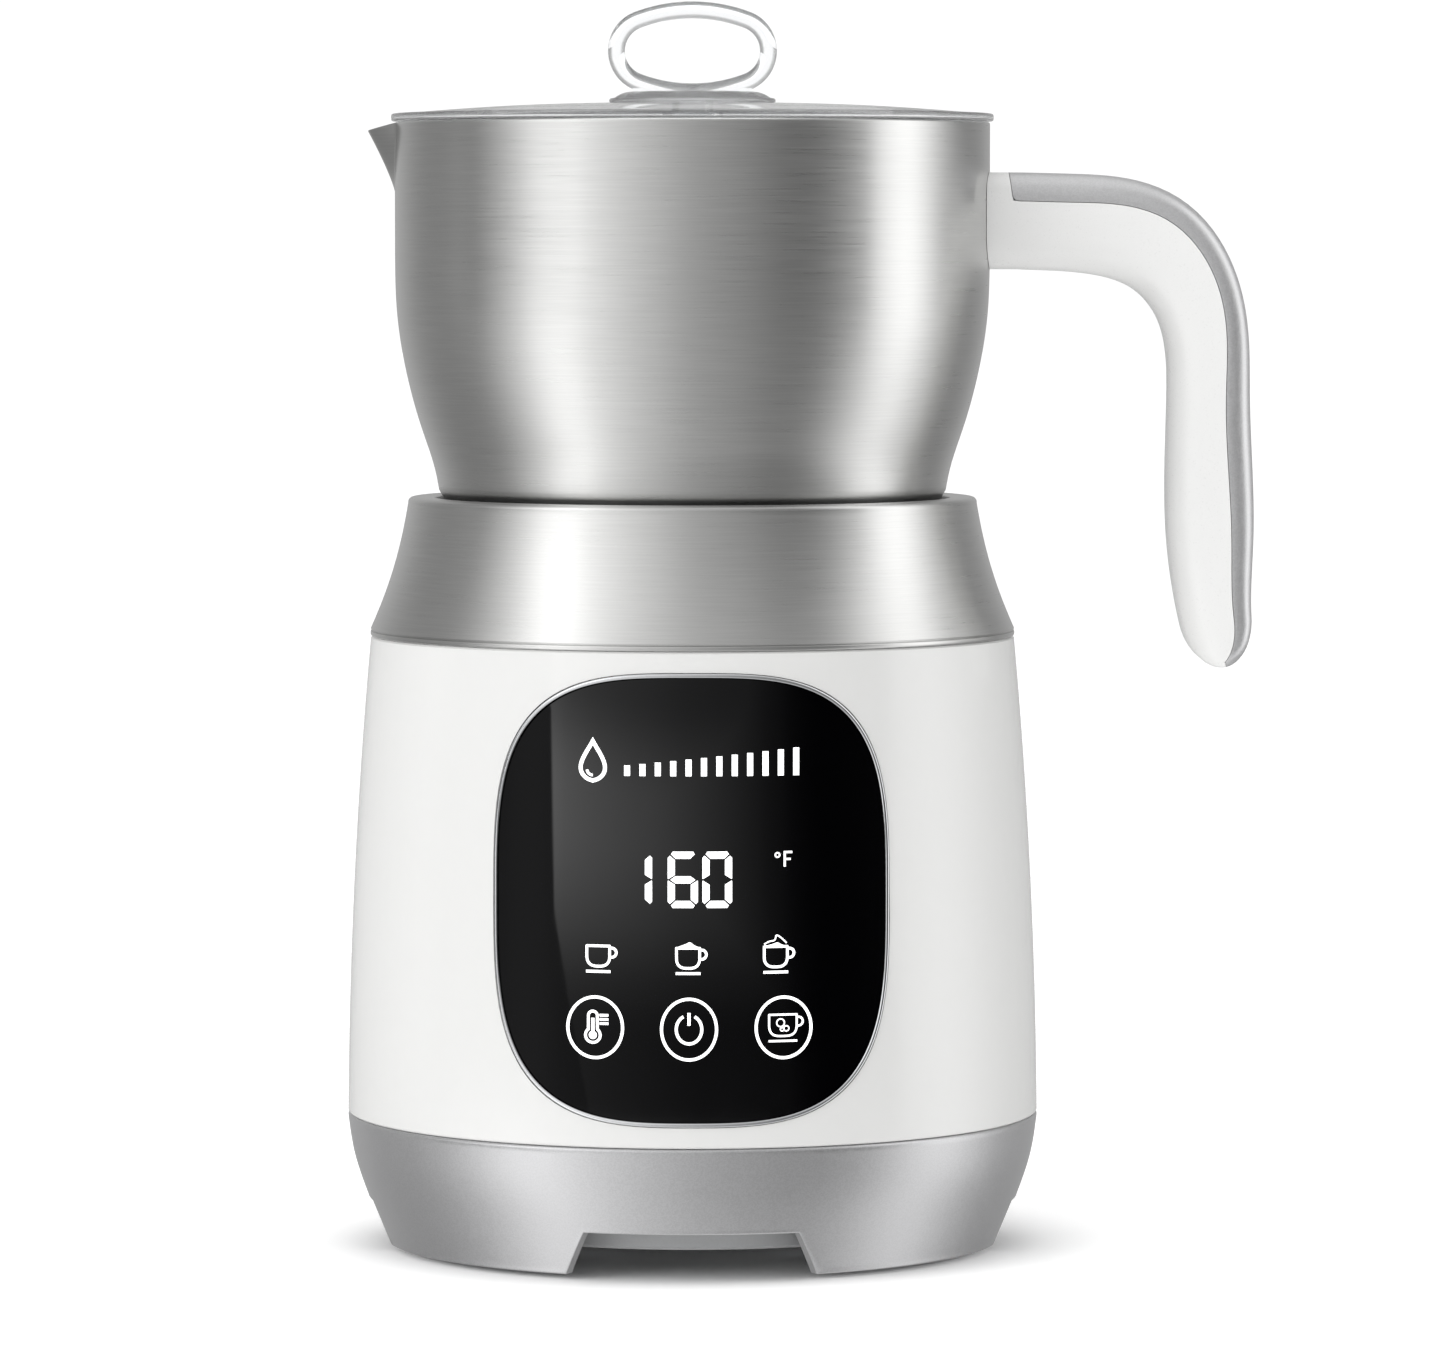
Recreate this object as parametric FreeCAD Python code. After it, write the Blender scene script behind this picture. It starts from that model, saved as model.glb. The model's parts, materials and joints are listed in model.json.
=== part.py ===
"""Milk frother with a lift-off jug.

Units are millimetres. The origin is on the axis of the round base, on the table.
+Z is up. The touch panel faces -Y, the handle points to +X, the spout to -X and
the cord inlet to +Y. Every separate piece is written to parts/NODE.step.
"""
import FreeCAD, Part
import math
import os

V = FreeCAD.Vector
UP = V(0, 0, 1)
CENTRE = V(0, 0, 0)

# ---- moulded base ----
SHELL_Z0 = 26.9            # where the white shell starts
SHELL_Z1 = 122.1           # where it ends
SHELL_R0 = 69.1            # its outer radius at the start
SHELL_TAPER = 0.0083       # radius lost per mm of height
SHELL_BULGE = 0.000442     # and per mm squared, which makes the side convex
SHELL_WALL = 2.5
LEDGE_R = 50.0             # opening in the shell's top ledge
LEDGE_H = 2.5
POST_R = 57.0              # circle of the four screw posts
POST_RADIUS = 4.0
POST_Z0 = 15.1
BOARD_Z = 56.0             # underside of the power board
DIAGONALS = (45, 135, 225, 315)

SKIRT_Z0 = 1.0             # lower edge of the skirt, just clear of the table
NOTCH_Z = 9.7              # top of the air notches
FRONT_NOTCH = (20.4, 25.1)  # half widths at the top and at the lower edge
SIDE_NOTCH = (13.0, 15.2)

PAN_R = 53.0               # floor pan
PAN_Z = 5.2
PAN_T = 2.5
PAN_FLANGE_Z = 12.5
PAN_FLANGE_R = 62.4
FOOT_CIRCLE = 42.5
FOOT_R = 6.5

# ---- touch panel ----
PANEL_Z = 74.5             # height of the panel's middle
PANEL_A = 38.2             # half width of the bezel, seen from the front
PANEL_B = 43.5             # half height
PANEL_POWER = 3.3          # exponent of the rounded outline
BEZEL_W = 0.9
GLASS_T = 1.8
BOARD_Y = -53.0            # front face of the display board

# ---- collar, seat and heater ----
COLLAR_T = 0.9
COLLAR_TOP = 149.8
SEAT_R = 51.5              # recess that the jug stands in
DECK_Z = 147.0             # face that the jug stands on
DECK_T = 3.0
DECK_WALL_R = 54.9
FORMER_Z = 136.0
COIL_R0 = 25.8
COIL_R1 = 44.8
COIL_TURNS = 7
LUG_R = 49.6
LUG_ANGLES = (30, 150, 270)
ARM_ANGLES = (90, 210, 330)
LEAD_R = 42.0

# ---- temperature sensor ----
SENSOR_X = 13.86           # 19.6 mm from the axis, at 45 degrees
SENSOR_Y = 13.86
CAP_R = 2.6
CAP_TOP = 147.05
SPRING_Z = 137.0

# ---- motor and magnetic drive ----
MOTOR_R = 14.0
MOTOR_Z0 = 95.0
MOTOR_Z1 = 126.0
BRACKET_T = 1.5
SHAFT_R = 1.5
SHAFT_FIT = 0.03           # radial running clearance
MAGNET_CIRCLE = 9.5

# ---- jug ----
JUG_R = 59.3
JUG_RIM = 224.4
JUG_FOOT = 147.05
JUG_FLOOR = 149.0
JUG_WALL = 0.8
SPOUT_TIP = 64.8
SPOUT_Z = 210.4
SPOUT_HALF = 9.0
POST_TOP = 160.0

# ---- handle ----
HANDLE_HALF = 11.0         # half width across the hand
HANDLE_ROUND = 4.5
HANDLE_SCREWS = (70.0, 80.0)
TONGUE_Z = 201.0

# ---- lid ----
LID_R = 60.06
LID_Z = 224.6
LID_EDGE = 1.5
LID_TOP = 228.3
KNOB_R = 16.6
LOOP_A = 15.15             # half width of the loop's centre line
LOOP_B = 8.15
LOOP_END = 6.6             # radius of its two end arcs
LOOP_Z = 238.65
LOOP_R = 1.7


# ---------------------------------------------------------------- tools

def outline(start, *steps):
    """A closed face in the XZ plane.

    A step is a point for a straight run, a pair of points for an arc through the
    first one, or a list of points for a smooth curve.
    """
    edges = []
    here = start
    for step in steps:
        if isinstance(step, list):
            curve = Part.BSplineCurve()
            curve.interpolate([V(x, 0, z) for x, z in [here] + step])
            edges.append(curve.toShape())
            here = step[-1]
        elif isinstance(step[0], tuple):
            middle, end = step
            points = [V(x, 0, z) for x, z in (here, middle, end)]
            edges.append(Part.Arc(*points).toShape())
            here = end
        else:
            edges.append(Part.LineSegment(V(here[0], 0, here[1]), V(step[0], 0, step[1])).toShape())
            here = step
    if here != start:
        edges.append(Part.LineSegment(V(here[0], 0, here[1]), V(start[0], 0, start[1])).toShape())
    return Part.Face(Part.Wire(edges))


def positive(solid):
    """The solid with its faces pointing outwards."""
    if solid.Volume < 0:
        solid.reverse()
    return solid


def turned(start, *steps):
    """The outline turned once round the Z axis, x being the radius."""
    shape = outline(start, *steps).revolve(CENTRE, UP, 360)
    return positive(Part.Solid(shape.Shells[0]))


def rod(radius, z0, z1, x=0.0, y=0.0):
    return Part.makeCylinder(radius, z1 - z0, V(x, y, z0), UP)


def ring(inner, outer, z0, z1, x=0.0, y=0.0):
    return rod(outer, z0, z1, x, y).cut(rod(inner, z0 - 1, z1 + 1, x, y))


def rod_y(radius, y0, y1, x, z):
    return Part.makeCylinder(radius, y1 - y0, V(x, y0, z), V(0, 1, 0))


def block(x0, x1, y0, y1, z0, z1):
    return Part.makeBox(x1 - x0, y1 - y0, z1 - z0, V(x0, y0, z0))


def at_angle(shape, angle):
    copy = shape.copy()
    copy.rotate(CENTRE, UP, angle)
    return copy


def polar(radius, angle):
    turn = math.radians(angle)
    return radius * math.cos(turn), radius * math.sin(turn)


def union(shapes):
    first, *others = shapes
    return first.fuse(others).removeSplitter()


def group(shapes):
    solids = []
    for shape in shapes:
        solids.extend(shape.Solids)
    return Part.makeCompound(solids)


def extruded(face, half):
    """A face of the XZ plane made into a slab, half to each side of it."""
    slab = face.copy()
    slab.translate(V(0, -half, 0))
    return positive(slab.extrude(V(0, 2 * half, 0)))


def screw(z_head, z_tip, head_r, shank_r, x, y, head_h=1.9):
    """A pan-head screw along Z. Its head starts at z_head, on the far side from the tip."""
    way = 1 if z_tip > z_head else -1
    low, high = sorted((z_head, z_tip))
    top = z_head - way * head_h
    head = rod(head_r, min(z_head, top), max(z_head, top), x, y)
    recess_low = top - 0.1 if way > 0 else top - 1.0
    cross = block(x - 1.5, x + 1.5, y - 0.3, y + 0.3, recess_low, recess_low + 1.1)
    head = head.cut([cross, cross.rotated(V(x, y, 0), UP, 90)])
    return union([rod(shank_r, low, high, x, y), head])


def shell_radius(z):
    rise = z - SHELL_Z0
    return SHELL_R0 - SHELL_TAPER * rise - SHELL_BULGE * rise * rise


def shell_skin(outer, inner, z0, z1):
    """A turned layer that follows the shell, between two depths under its surface."""
    middle = (z0 + z1) / 2
    return turned((shell_radius(z0) - outer, z0),
                  ((shell_radius(middle) - outer, middle), (shell_radius(z1) - outer, z1)),
                  (shell_radius(z1) - inner, z1),
                  ((shell_radius(middle) - inner, middle), (shell_radius(z0) - inner, z0)))


def panel_prism(grow):
    """The panel's rounded outline, |x/a|^n + |z/b|^n = 1, cut straight through the front wall."""
    points = []
    for i in range(48):
        turn = 2 * math.pi * i / 48
        c = math.cos(turn)
        s = math.sin(turn)
        x = (PANEL_A + grow) * math.copysign(abs(c) ** (2 / PANEL_POWER), c)
        z = (PANEL_B + grow) * math.copysign(abs(s) ** (2 / PANEL_POWER), s)
        points.append(V(x, -80, PANEL_Z + z))
    curve = Part.BSplineCurve()
    curve.interpolate(points, PeriodicFlag=True)
    return positive(Part.Face(Part.Wire(curve.toShape())).extrude(V(0, 45, 0)))


# ---------------------------------------------------------------- base

def base_shell():
    top_r = shell_radius(SHELL_Z1)
    under = SHELL_Z1 - LEDGE_H
    middle = (SHELL_Z0 + SHELL_Z1) / 2
    shell = turned((SHELL_R0 - 0.3, SHELL_Z0),
                   (SHELL_R0, SHELL_Z0 + 0.3),
                   ((shell_radius(middle), middle), (shell_radius(SHELL_Z1 - 0.4), SHELL_Z1 - 0.4)),
                   (top_r - 0.4, SHELL_Z1),
                   (LEDGE_R, SHELL_Z1),
                   (LEDGE_R, under),
                   (shell_radius(under) - SHELL_WALL, under),
                   ((shell_radius(middle) - SHELL_WALL, middle), (SHELL_R0 - SHELL_WALL, SHELL_Z0)))
    posts = []
    holes = []
    for angle in DIAGONALS:
        x, y = polar(POST_R, angle)
        posts.append(rod(POST_RADIUS, POST_Z0, BOARD_Z, x, y))
        web = block(POST_R, 68, -1.25, 1.25, 32, BOARD_Z)
        posts.append(at_angle(web, angle).common(rod(shell_radius(BOARD_Z) - 1, 30, 60)))
        holes.append(rod(1.5, POST_Z0 - 1, 27, x, y))
        holes.append(rod(1.5, 44, BOARD_Z + 1, x, y))
    for angle in (0, 90, 180, 270):
        x, y = polar(56, angle)
        holes.append(rod(1.9, under - 1, SHELL_Z1 + 1, x, y))
    holes.append(panel_prism(0.1))
    holes.append(rod_y(5.15, 50, 75, 0, 40))
    return union([shell] + posts).cut(holes)


def skirt_notch(widths, angle):
    """A trapezoid cut through the wall on the +X side, then turned to its place."""
    top, low = widths
    drop = SKIRT_Z0 - 1
    slope = (low - top) / (NOTCH_Z - SKIRT_Z0)
    foot = low + slope
    corners = [V(50, -foot, drop), V(50, foot, drop), V(50, top, NOTCH_Z), V(50, -top, NOTCH_Z)]
    face = Part.Face(Part.makePolygon(corners + corners[:1]))
    return at_angle(positive(face.extrude(V(30, 0, 0))), angle)


def base_skirt():
    skirt = turned((60.4, SKIRT_Z0),
                   ((61.2, SKIRT_Z0 + 0.25), (61.7, SKIRT_Z0 + 0.9)),
                   [(65.3, 10.6), (68.0, 19.0), (69.1, 26.2)],
                   (68.7, 26.8),
                   (66.3, 26.8),
                   (66.3, 30.6),
                   (64.6, 30.6),
                   (64.6, 19.0),
                   (64.3, 17.4),
                   (61.6, 17.4),
                   (61.6, 15.0),
                   (63.6, 15.0),
                   [(61.9, 10.0), (58.6, SKIRT_Z0)])
    notches = [skirt_notch(FRONT_NOTCH, 90), skirt_notch(FRONT_NOTCH, 270)]
    notches += [skirt_notch(SIDE_NOTCH, 0), skirt_notch(SIDE_NOTCH, 180)]
    return skirt.cut(notches)


def bottom_plate():
    floor = PAN_Z + PAN_T
    pan = turned((0, PAN_Z),
                 (PAN_R - 0.6, PAN_Z),
                 (PAN_R, PAN_Z + 0.6),
                 (PAN_R, PAN_FLANGE_Z),
                 (PAN_FLANGE_R, PAN_FLANGE_Z),
                 (PAN_FLANGE_R, PAN_FLANGE_Z + 2.5),
                 (PAN_R - 2.5, PAN_FLANGE_Z + 2.5),
                 (PAN_R - 2.5, floor),
                 (0, floor))
    holes = []
    for i in range(12):
        holes.append(at_angle(block(8, 22, -1.5, 1.5, 0, 12), 30 * i))
    for side in (0, 90, 180, 270):
        for step in (-16, -8, 0, 8, 16):
            holes.append(at_angle(block(32, 46, -1.5, 1.5, 0, 12), side + step))
    for angle in DIAGONALS:
        x, y = polar(FOOT_CIRCLE, angle)
        holes.append(rod(2.0, 0, 12, x, y))
        x, y = polar(POST_R, angle)
        holes.append(rod(1.7, 10, 18, x, y))
    for x in (-20, 20):
        for y in (-20, 20):
            holes.append(rod(1.5, 0, 12, x, y))
    return pan.cut(holes)


def foot_pads():
    pad = turned((0, 0),
                 (FOOT_R - 0.8, 0),
                 (FOOT_R, 0.8),
                 (FOOT_R, PAN_Z),
                 (1.95, PAN_Z),
                 (1.95, 7.8),
                 (2.6, 8.2),
                 (1.2, 9.6),
                 (0, 9.6))
    pads = []
    for angle in DIAGONALS:
        copy = pad.copy()
        x, y = polar(FOOT_CIRCLE, angle)
        copy.translate(V(x, y, 0))
        pads.append(copy)
    return group(pads)


def bottom_screws():
    places = [polar(POST_R, angle) for angle in DIAGONALS]
    return group([screw(PAN_FLANGE_Z, 25, 2.9, 1.45, x, y) for x, y in places])


def cord_gland():
    body = rod_y(5.0, 58, 70.2, 0, 40)
    flange = Part.makeCone(7.6, 6.4, 2.4, V(0, 69.1, 40), V(0, 1, 0))
    barb = Part.makeCone(5.0, 6.0, 2.0, V(0, 63.6, 40), V(0, 1, 0))
    bore = rod_y(3.6, 50, 75, 0, 40)
    return union([body, flange, barb]).cut(bore)


# ---------------------------------------------------------------- touch panel

def panel_bezel():
    """A ring that stands 0.45 mm proud, with a ledge behind the glass."""
    span = (PANEL_Z - PANEL_B - 3, PANEL_Z + PANEL_B + 3)
    outer = panel_prism(0)
    band = shell_skin(-0.45, SHELL_WALL + 0.8, *span).common(outer).cut(panel_prism(-BEZEL_W))
    ledge = shell_skin(GLASS_T, SHELL_WALL + 0.8, *span).common(outer).cut(panel_prism(-2.5))
    front = block(-60, 60, -80, -30, 20, 125)
    return union([band, ledge]).common(front)


def panel_glass():
    span = (PANEL_Z - PANEL_B - 3, PANEL_Z + PANEL_B + 3)
    return shell_skin(-0.15, GLASS_T - 0.05, *span).common(panel_prism(-BEZEL_W - 0.1))


def panel_carrier():
    """An open tray behind the display board, on four legs that reach the bezel's ledge."""
    tray = block(-29.5, 29.5, -53.4, -49.0, PANEL_Z - 39.8, PANEL_Z + 39.8)
    pocket = block(-26.8, 26.8, -60, -51.35, PANEL_Z - 37.3, PANEL_Z + 37.3)
    window = block(-24, 24, -60, -40, PANEL_Z - 34, PANEL_Z + 34)
    legs = []
    inside = shell_skin(SHELL_WALL + 0.85, 20, 30, 119)
    for x in (-28, 24):
        for z in (PANEL_Z - 39, PANEL_Z + 36):
            legs.append(block(x, x + 4, -70, -53.0, z, z + 3).common(inside))
    return union([tray.cut([pocket, window])] + legs)


def display_board():
    board = block(-26.5, 26.5, BOARD_Y, BOARD_Y + 1.6, PANEL_Z - 37, PANEL_Z + 37)
    return board.cut([rod_y(1.4, -60, -40, x, z) for x in (-23, 23) for z in (41, 108)])


def led_digit_module():
    """Three numeral windows, each a block with a light chamber behind its face."""
    body = block(-17.5, 16.5, -62.4, BOARD_Y, 71.0, 86.2)
    wells = [block(x, x + 8.2, -61.4, -54.0, 72.6, 84.6) for x in (-15.6, -4.9, 5.8)]
    return body.cut(wells)


def touch_electrodes():
    """Conductive pads that couple the keys to the back of the glass."""
    return group([rod_y(5.2, -61.4, BOARD_Y, -18.4, 50.1),
                  rod_y(5.2, -66.2, BOARD_Y, 0, 50.1),
                  rod_y(5.2, -61.4, BOARD_Y, 18.0, 50.1)])


# ---------------------------------------------------------------- collar, deck and heater

def base_collar():
    """A drawn steel cone: a hem that sits on the shell, a concave flare and a turned-in rim."""
    inset = COLLAR_TOP - COLLAR_T
    return turned((60.0, SHELL_Z1),
                  (63.7, SHELL_Z1),
                  ((64.2, SHELL_Z1 + 0.2), (64.4, SHELL_Z1 + 0.7)),
                  (64.35, 123.6),
                  [(62.1, 129.0), (59.4, 137.0), (57.5, 145.0), (56.8, 148.9)],
                  ((56.55, 149.55), (55.9, COLLAR_TOP)),
                  (52.3, COLLAR_TOP),
                  ((51.75, 149.6), (SEAT_R, 149.1)),
                  (SEAT_R, 147.3),
                  (SEAT_R + 0.8, 147.3),
                  (SEAT_R + 0.8, inset),
                  (55.6, inset),
                  [(56.5, 145.0), (58.4, 137.0), (61.1, 129.0), (63.3, 123.6)],
                  (63.3, 123.0),
                  (60.0, 123.0))


def seat_deck():
    """The black plate under the jug, with the wall and posts that carry the heater and the motor."""
    under = DECK_Z - DECK_T
    deck = turned((0, under),
                  (0, DECK_Z),
                  (45.6, DECK_Z),
                  ((46.1, DECK_Z - 0.4), (46.6, DECK_Z)),
                  (SEAT_R + 1.1, DECK_Z),
                  (SEAT_R + 1.1, 148.4),
                  (DECK_WALL_R, 148.4),
                  (DECK_WALL_R, 124.6),
                  (59.6, 124.6),
                  (59.6, SHELL_Z1),
                  (52.4, SHELL_Z1),
                  (52.4, under))
    added = []
    holes = [rod(3.65, 140, 150, SENSOR_X, SENSOR_Y)]
    for angle in LUG_ANGLES:
        x, y = polar(LUG_R, angle)
        added.append(rod(2.5, FORMER_Z + 2.5, under + 1, x, y))
        holes.append(rod(1.2, FORMER_Z, under + 1, x, y))
    for angle in ARM_ANGLES:
        x, y = polar(LUG_R, angle)
        added.append(rod(2.6, MOTOR_Z1 + BRACKET_T, under + 1, x, y))
        holes.append(rod(1.2, 120, 136, x, y))
    for angle in (0, 90, 180, 270):
        x, y = polar(56, angle)
        added.append(rod(3.4, SHELL_Z1, 131, x, y))
        holes.append(rod(1.5, 120, 130, x, y))
    return union([deck] + added).cut(holes)


def deck_gasket():
    return ring(SEAT_R + 1.1, DECK_WALL_R, 148.4, COLLAR_TOP - COLLAR_T)


def deck_screws():
    under = SHELL_Z1 - LEDGE_H
    return group([screw(under, 129, 2.9, 1.45, *polar(56, angle)) for angle in (0, 90, 180, 270)])


def coil_former():
    dish = turned((24.0, FORMER_Z),
                  (24.0, 143.4),
                  (25.4, 143.4),
                  (25.4, FORMER_Z + 2),
                  (45.2, FORMER_Z + 2),
                  (45.2, 143.4),
                  (46.4, 143.4),
                  (46.4, FORMER_Z))
    lugs = []
    holes = []
    for angle in LUG_ANGLES:
        lug = block(46, 52.2, -3.2, 3.2, FORMER_Z, FORMER_Z + 2.5)
        lugs.append(at_angle(lug, angle).cut(rod(46, 130, 150)))
        holes.append(rod(1.5, 130, 140, *polar(LUG_R, angle)))
    for angle in (115, 125):
        holes.append(rod(1.5, 130, 140, *polar(LEAD_R, angle)))
    return union([dish] + lugs).cut(holes)


def former_screws():
    places = [polar(LUG_R, angle) for angle in LUG_ANGLES]
    return group([screw(FORMER_Z, 142.5, 2.3, 1.15, x, y, 1.6) for x, y in places])


def induction_coil():
    """A flat winding: each turn of the stranded wire shows as a rounded ridge."""
    pitch = (COIL_R1 - COIL_R0) / COIL_TURNS
    low = FORMER_Z + 2.1
    crest = low + 4.4
    steps = [(COIL_R0, crest - 1)]
    for i in range(COIL_TURNS):
        r = COIL_R0 + i * pitch
        steps.append(((r + pitch / 2, crest), (r + pitch, crest - 1)))
    steps.append((COIL_R1, low))
    return turned((COIL_R0, low), *steps)


def coil_leads():
    return group([rod(1.3, BOARD_Z + 1.65, FORMER_Z + 2.05, *polar(LEAD_R, a)) for a in (115, 125)])


def ferrite_bars():
    bar = block(27, 44, -4, 4, FORMER_Z - 3, FORMER_Z)
    return group([at_angle(bar, 30 + 60 * i) for i in range(6)])


# ---------------------------------------------------------------- temperature sensor

def placed_at_sensor(shape):
    shape.translate(V(SENSOR_X, SENSOR_Y, 0))
    return shape


def sensor_guide():
    return placed_at_sensor(turned((0, SPRING_Z - 0.8),
                                   (3.3, SPRING_Z - 0.8),
                                   (3.3, 143.0),
                                   (4.2, 143.0),
                                   (4.2, DECK_Z - DECK_T),
                                   (CAP_R + 0.15, DECK_Z - DECK_T),
                                   (CAP_R + 0.15, SPRING_Z),
                                   (0, SPRING_Z)))


def sensor_seal():
    return placed_at_sensor(ring(CAP_R + 0.2, 3.6, DECK_Z - DECK_T, DECK_Z - 0.1))


def sensor_cap():
    """An aluminium thimble with a slightly domed top."""
    return placed_at_sensor(turned((2.05, 141.0),
                                   (CAP_R, 141.0),
                                   (CAP_R, CAP_TOP - 0.6),
                                   ((CAP_R - 0.2, CAP_TOP - 0.2), (CAP_R - 0.7, CAP_TOP)),
                                   (0, CAP_TOP),
                                   (0, CAP_TOP - 1.0),
                                   (2.05, CAP_TOP - 1.0)))


def sensor_spring():
    """A wire of 0.4 mm wound in six turns, with ground ends."""
    wire = 0.22
    radius = 1.7
    low = SPRING_Z + wire + 0.02
    high = CAP_TOP - 1.0 - wire - 0.02
    path = Part.makeHelix((high - low) / 6, high - low, radius)
    start = Part.Wire(Part.makeCircle(wire, V(radius, 0, 0), V(0, 1, 0.3)))
    coil = Part.Wire(path).makePipeShell([start], True, True)
    coil.translate(V(0, 0, low))
    return placed_at_sensor(positive(coil))


# ---------------------------------------------------------------- motor and drive

def motor_can():
    return turned((MOTOR_R - 1, MOTOR_Z0),
                  (MOTOR_R, MOTOR_Z0),
                  (MOTOR_R, MOTOR_Z1 - 1.5),
                  ((MOTOR_R - 0.45, MOTOR_Z1 - 0.45), (MOTOR_R - 1.5, MOTOR_Z1)),
                  (3.05, MOTOR_Z1),
                  (3.05, MOTOR_Z1 - 1),
                  (MOTOR_R - 1, MOTOR_Z1 - 1)).cut(motor_screw_holes(1.1))


def motor_screw_holes(radius):
    return [rod(radius, MOTOR_Z1 - 3, MOTOR_Z1 + 5, x, 0) for x in (-8, 8)]


def motor_magnets():
    arcs = []
    for start in (20, 200):
        sector = Part.makeCylinder(MOTOR_R - 1.05, 22, V(0, 0, 100), UP, 140)
        sector.rotate(CENTRE, UP, start)
        arcs.append(sector.cut(rod(10.6, 90, 130)))
    return group(arcs)


def motor_end_cap():
    cap = turned((2.55, MOTOR_Z0 - 3),
                 (MOTOR_R, MOTOR_Z0 - 3),
                 (MOTOR_R, MOTOR_Z0),
                 (MOTOR_R - 1.05, MOTOR_Z0),
                 (MOTOR_R - 1.05, MOTOR_Z0 + 1.5),
                 (2.55, MOTOR_Z0 + 1.5))
    tabs = [block(x - 1.4, x + 1.4, -0.3, 0.3, MOTOR_Z0 - 7, MOTOR_Z0 - 2) for x in (-9, 9)]
    return union([cap] + tabs)


def motor_bushings():
    bore = SHAFT_R + SHAFT_FIT
    return group([ring(bore, 3.0, MOTOR_Z1 - 2, MOTOR_Z1 + 2.2),
                  ring(bore, 2.5, MOTOR_Z0 - 3, MOTOR_Z0 + 1.5)])


def motor_bracket():
    top = MOTOR_Z1 + BRACKET_T
    plate = rod(16, MOTOR_Z1, top)
    arms = [at_angle(block(0, 52.2, -4.5, 4.5, MOTOR_Z1, top), angle) for angle in ARM_ANGLES]
    holes = [rod(3.1, 120, 130)] + motor_screw_holes(1.4)
    holes += [rod(1.5, 120, 130, *polar(LUG_R, angle)) for angle in ARM_ANGLES]
    return union([plate] + arms).cut(holes)


def motor_screws():
    top = MOTOR_Z1 + BRACKET_T
    return group([screw(top, MOTOR_Z1 - 2.4, 2.2, 1.05, x, 0, 1.4) for x in (-8, 8)])


def bracket_screws():
    places = [polar(LUG_R, angle) for angle in ARM_ANGLES]
    return group([screw(MOTOR_Z1, 134, 2.3, 1.15, x, y, 1.6) for x, y in places])


def drive_shaft():
    return rod(SHAFT_R, MOTOR_Z0 - 2.6, 141.4)


def motor_armature():
    bore = rod(SHAFT_R + 0.01, 90, 130)
    stack = rod(10.1, 102, 120)
    slots = [at_angle(block(4, 12, -1.2, 1.2, 101, 121), 120 * i + 60) for i in range(3)]
    commutator = rod(3.6, 97.4, 102)
    return union([stack.cut(slots), commutator]).cut(bore)


def magnet_carrier():
    carrier = turned((SHAFT_R + 0.01, 130.4),
                     (4.0, 130.4),
                     (4.0, 136.4),
                     (15.0, 137.4),
                     (15.5, 137.9),
                     (15.5, 141.6),
                     (15.1, 142.0),
                     (SHAFT_R + 0.01, 142.0))
    return carrier.cut([rod(5.05, 138.2, 143, x, 0) for x in (-MAGNET_CIRCLE, MAGNET_CIRCLE)])


def drive_magnets():
    return group([rod(5.0, 138.2, 141.9, x, 0) for x in (-MAGNET_CIRCLE, MAGNET_CIRCLE)])


# ---------------------------------------------------------------- electronics and fan

def power_board():
    half = 44.5
    board = block(-half, half, -half, half, BOARD_Z, BOARD_Z + 1.6).common(rod(61.5, 50, 60))
    return board.cut([rod(1.7, 50, 60, *polar(POST_R, angle)) for angle in DIAGONALS])


def board_screws():
    places = [polar(POST_R, angle) for angle in DIAGONALS]
    return group([screw(BOARD_Z + 1.6, 46, 2.8, 1.45, x, y) for x, y in places])


def heat_sink():
    base = BOARD_Z + 1.65
    plate = block(6, 38, 4, 8, base, base + 25)
    fins = [block(x, x + 1.6, 8, 33, base, base + 25) for x in (6, 11, 16, 21.2, 26.4, 31.4, 36.4)]
    return union([plate] + fins)


def power_transistors():
    base = BOARD_Z + 4
    cases = []
    for x in (7, 23):
        case = block(x, x + 14, -1.1, 3.95, base, base + 18)
        legs = [block(x + 3 + 3.4 * i, x + 4.2 + 3.4 * i, 0.6, 1.2, BOARD_Z + 1.6, base) for i in range(3)]
        cases.append(union([case] + legs))
    return group(cases)


def filter_capacitors():
    top = BOARD_Z + 1.6
    cans = []
    for x, y, r, h in ((-26, -31, 8.0, 26), (-8, -31, 6.3, 20)):
        can = rod(r, top, top + h, x, y)
        groove = ring(r - 0.5, r + 1, top + 2.4, top + 3.4, x, y)
        cans.append(can.cut(groove))
    cans.append(block(-38, -12, 8, 20, top, top + 17))
    return group(cans)


def power_choke():
    return Part.makeTorus(8.0, 4.2, V(-32, -5, BOARD_Z + 5.9), UP)


def fan_frame():
    floor = PAN_Z + PAN_T
    top = floor + 10
    frame = block(-25, 25, -25, 25, floor, top).cut(rod(23.6, 0, 30))
    hub = rod(9, floor, floor + 1.4)
    struts = [at_angle(block(0, 24.2, -1.4, 1.4, floor, floor + 1.4), 45 + 90 * i) for i in range(4)]
    tube = rod(3.5, floor, floor + 7)
    holes = [rod(1.08, floor + 1, floor + 12)]
    holes += [rod(1.7, 0, 30, x, y) for x in (-20, 20) for y in (-20, 20)]
    return union([frame, hub, tube] + struts).cut(holes)


def fan_screws():
    top = PAN_Z + PAN_T + 10
    return group([screw(top, PAN_Z + 0.4, 2.8, 1.45, x, y) for x in (-20, 20) for y in (-20, 20)])


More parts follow.
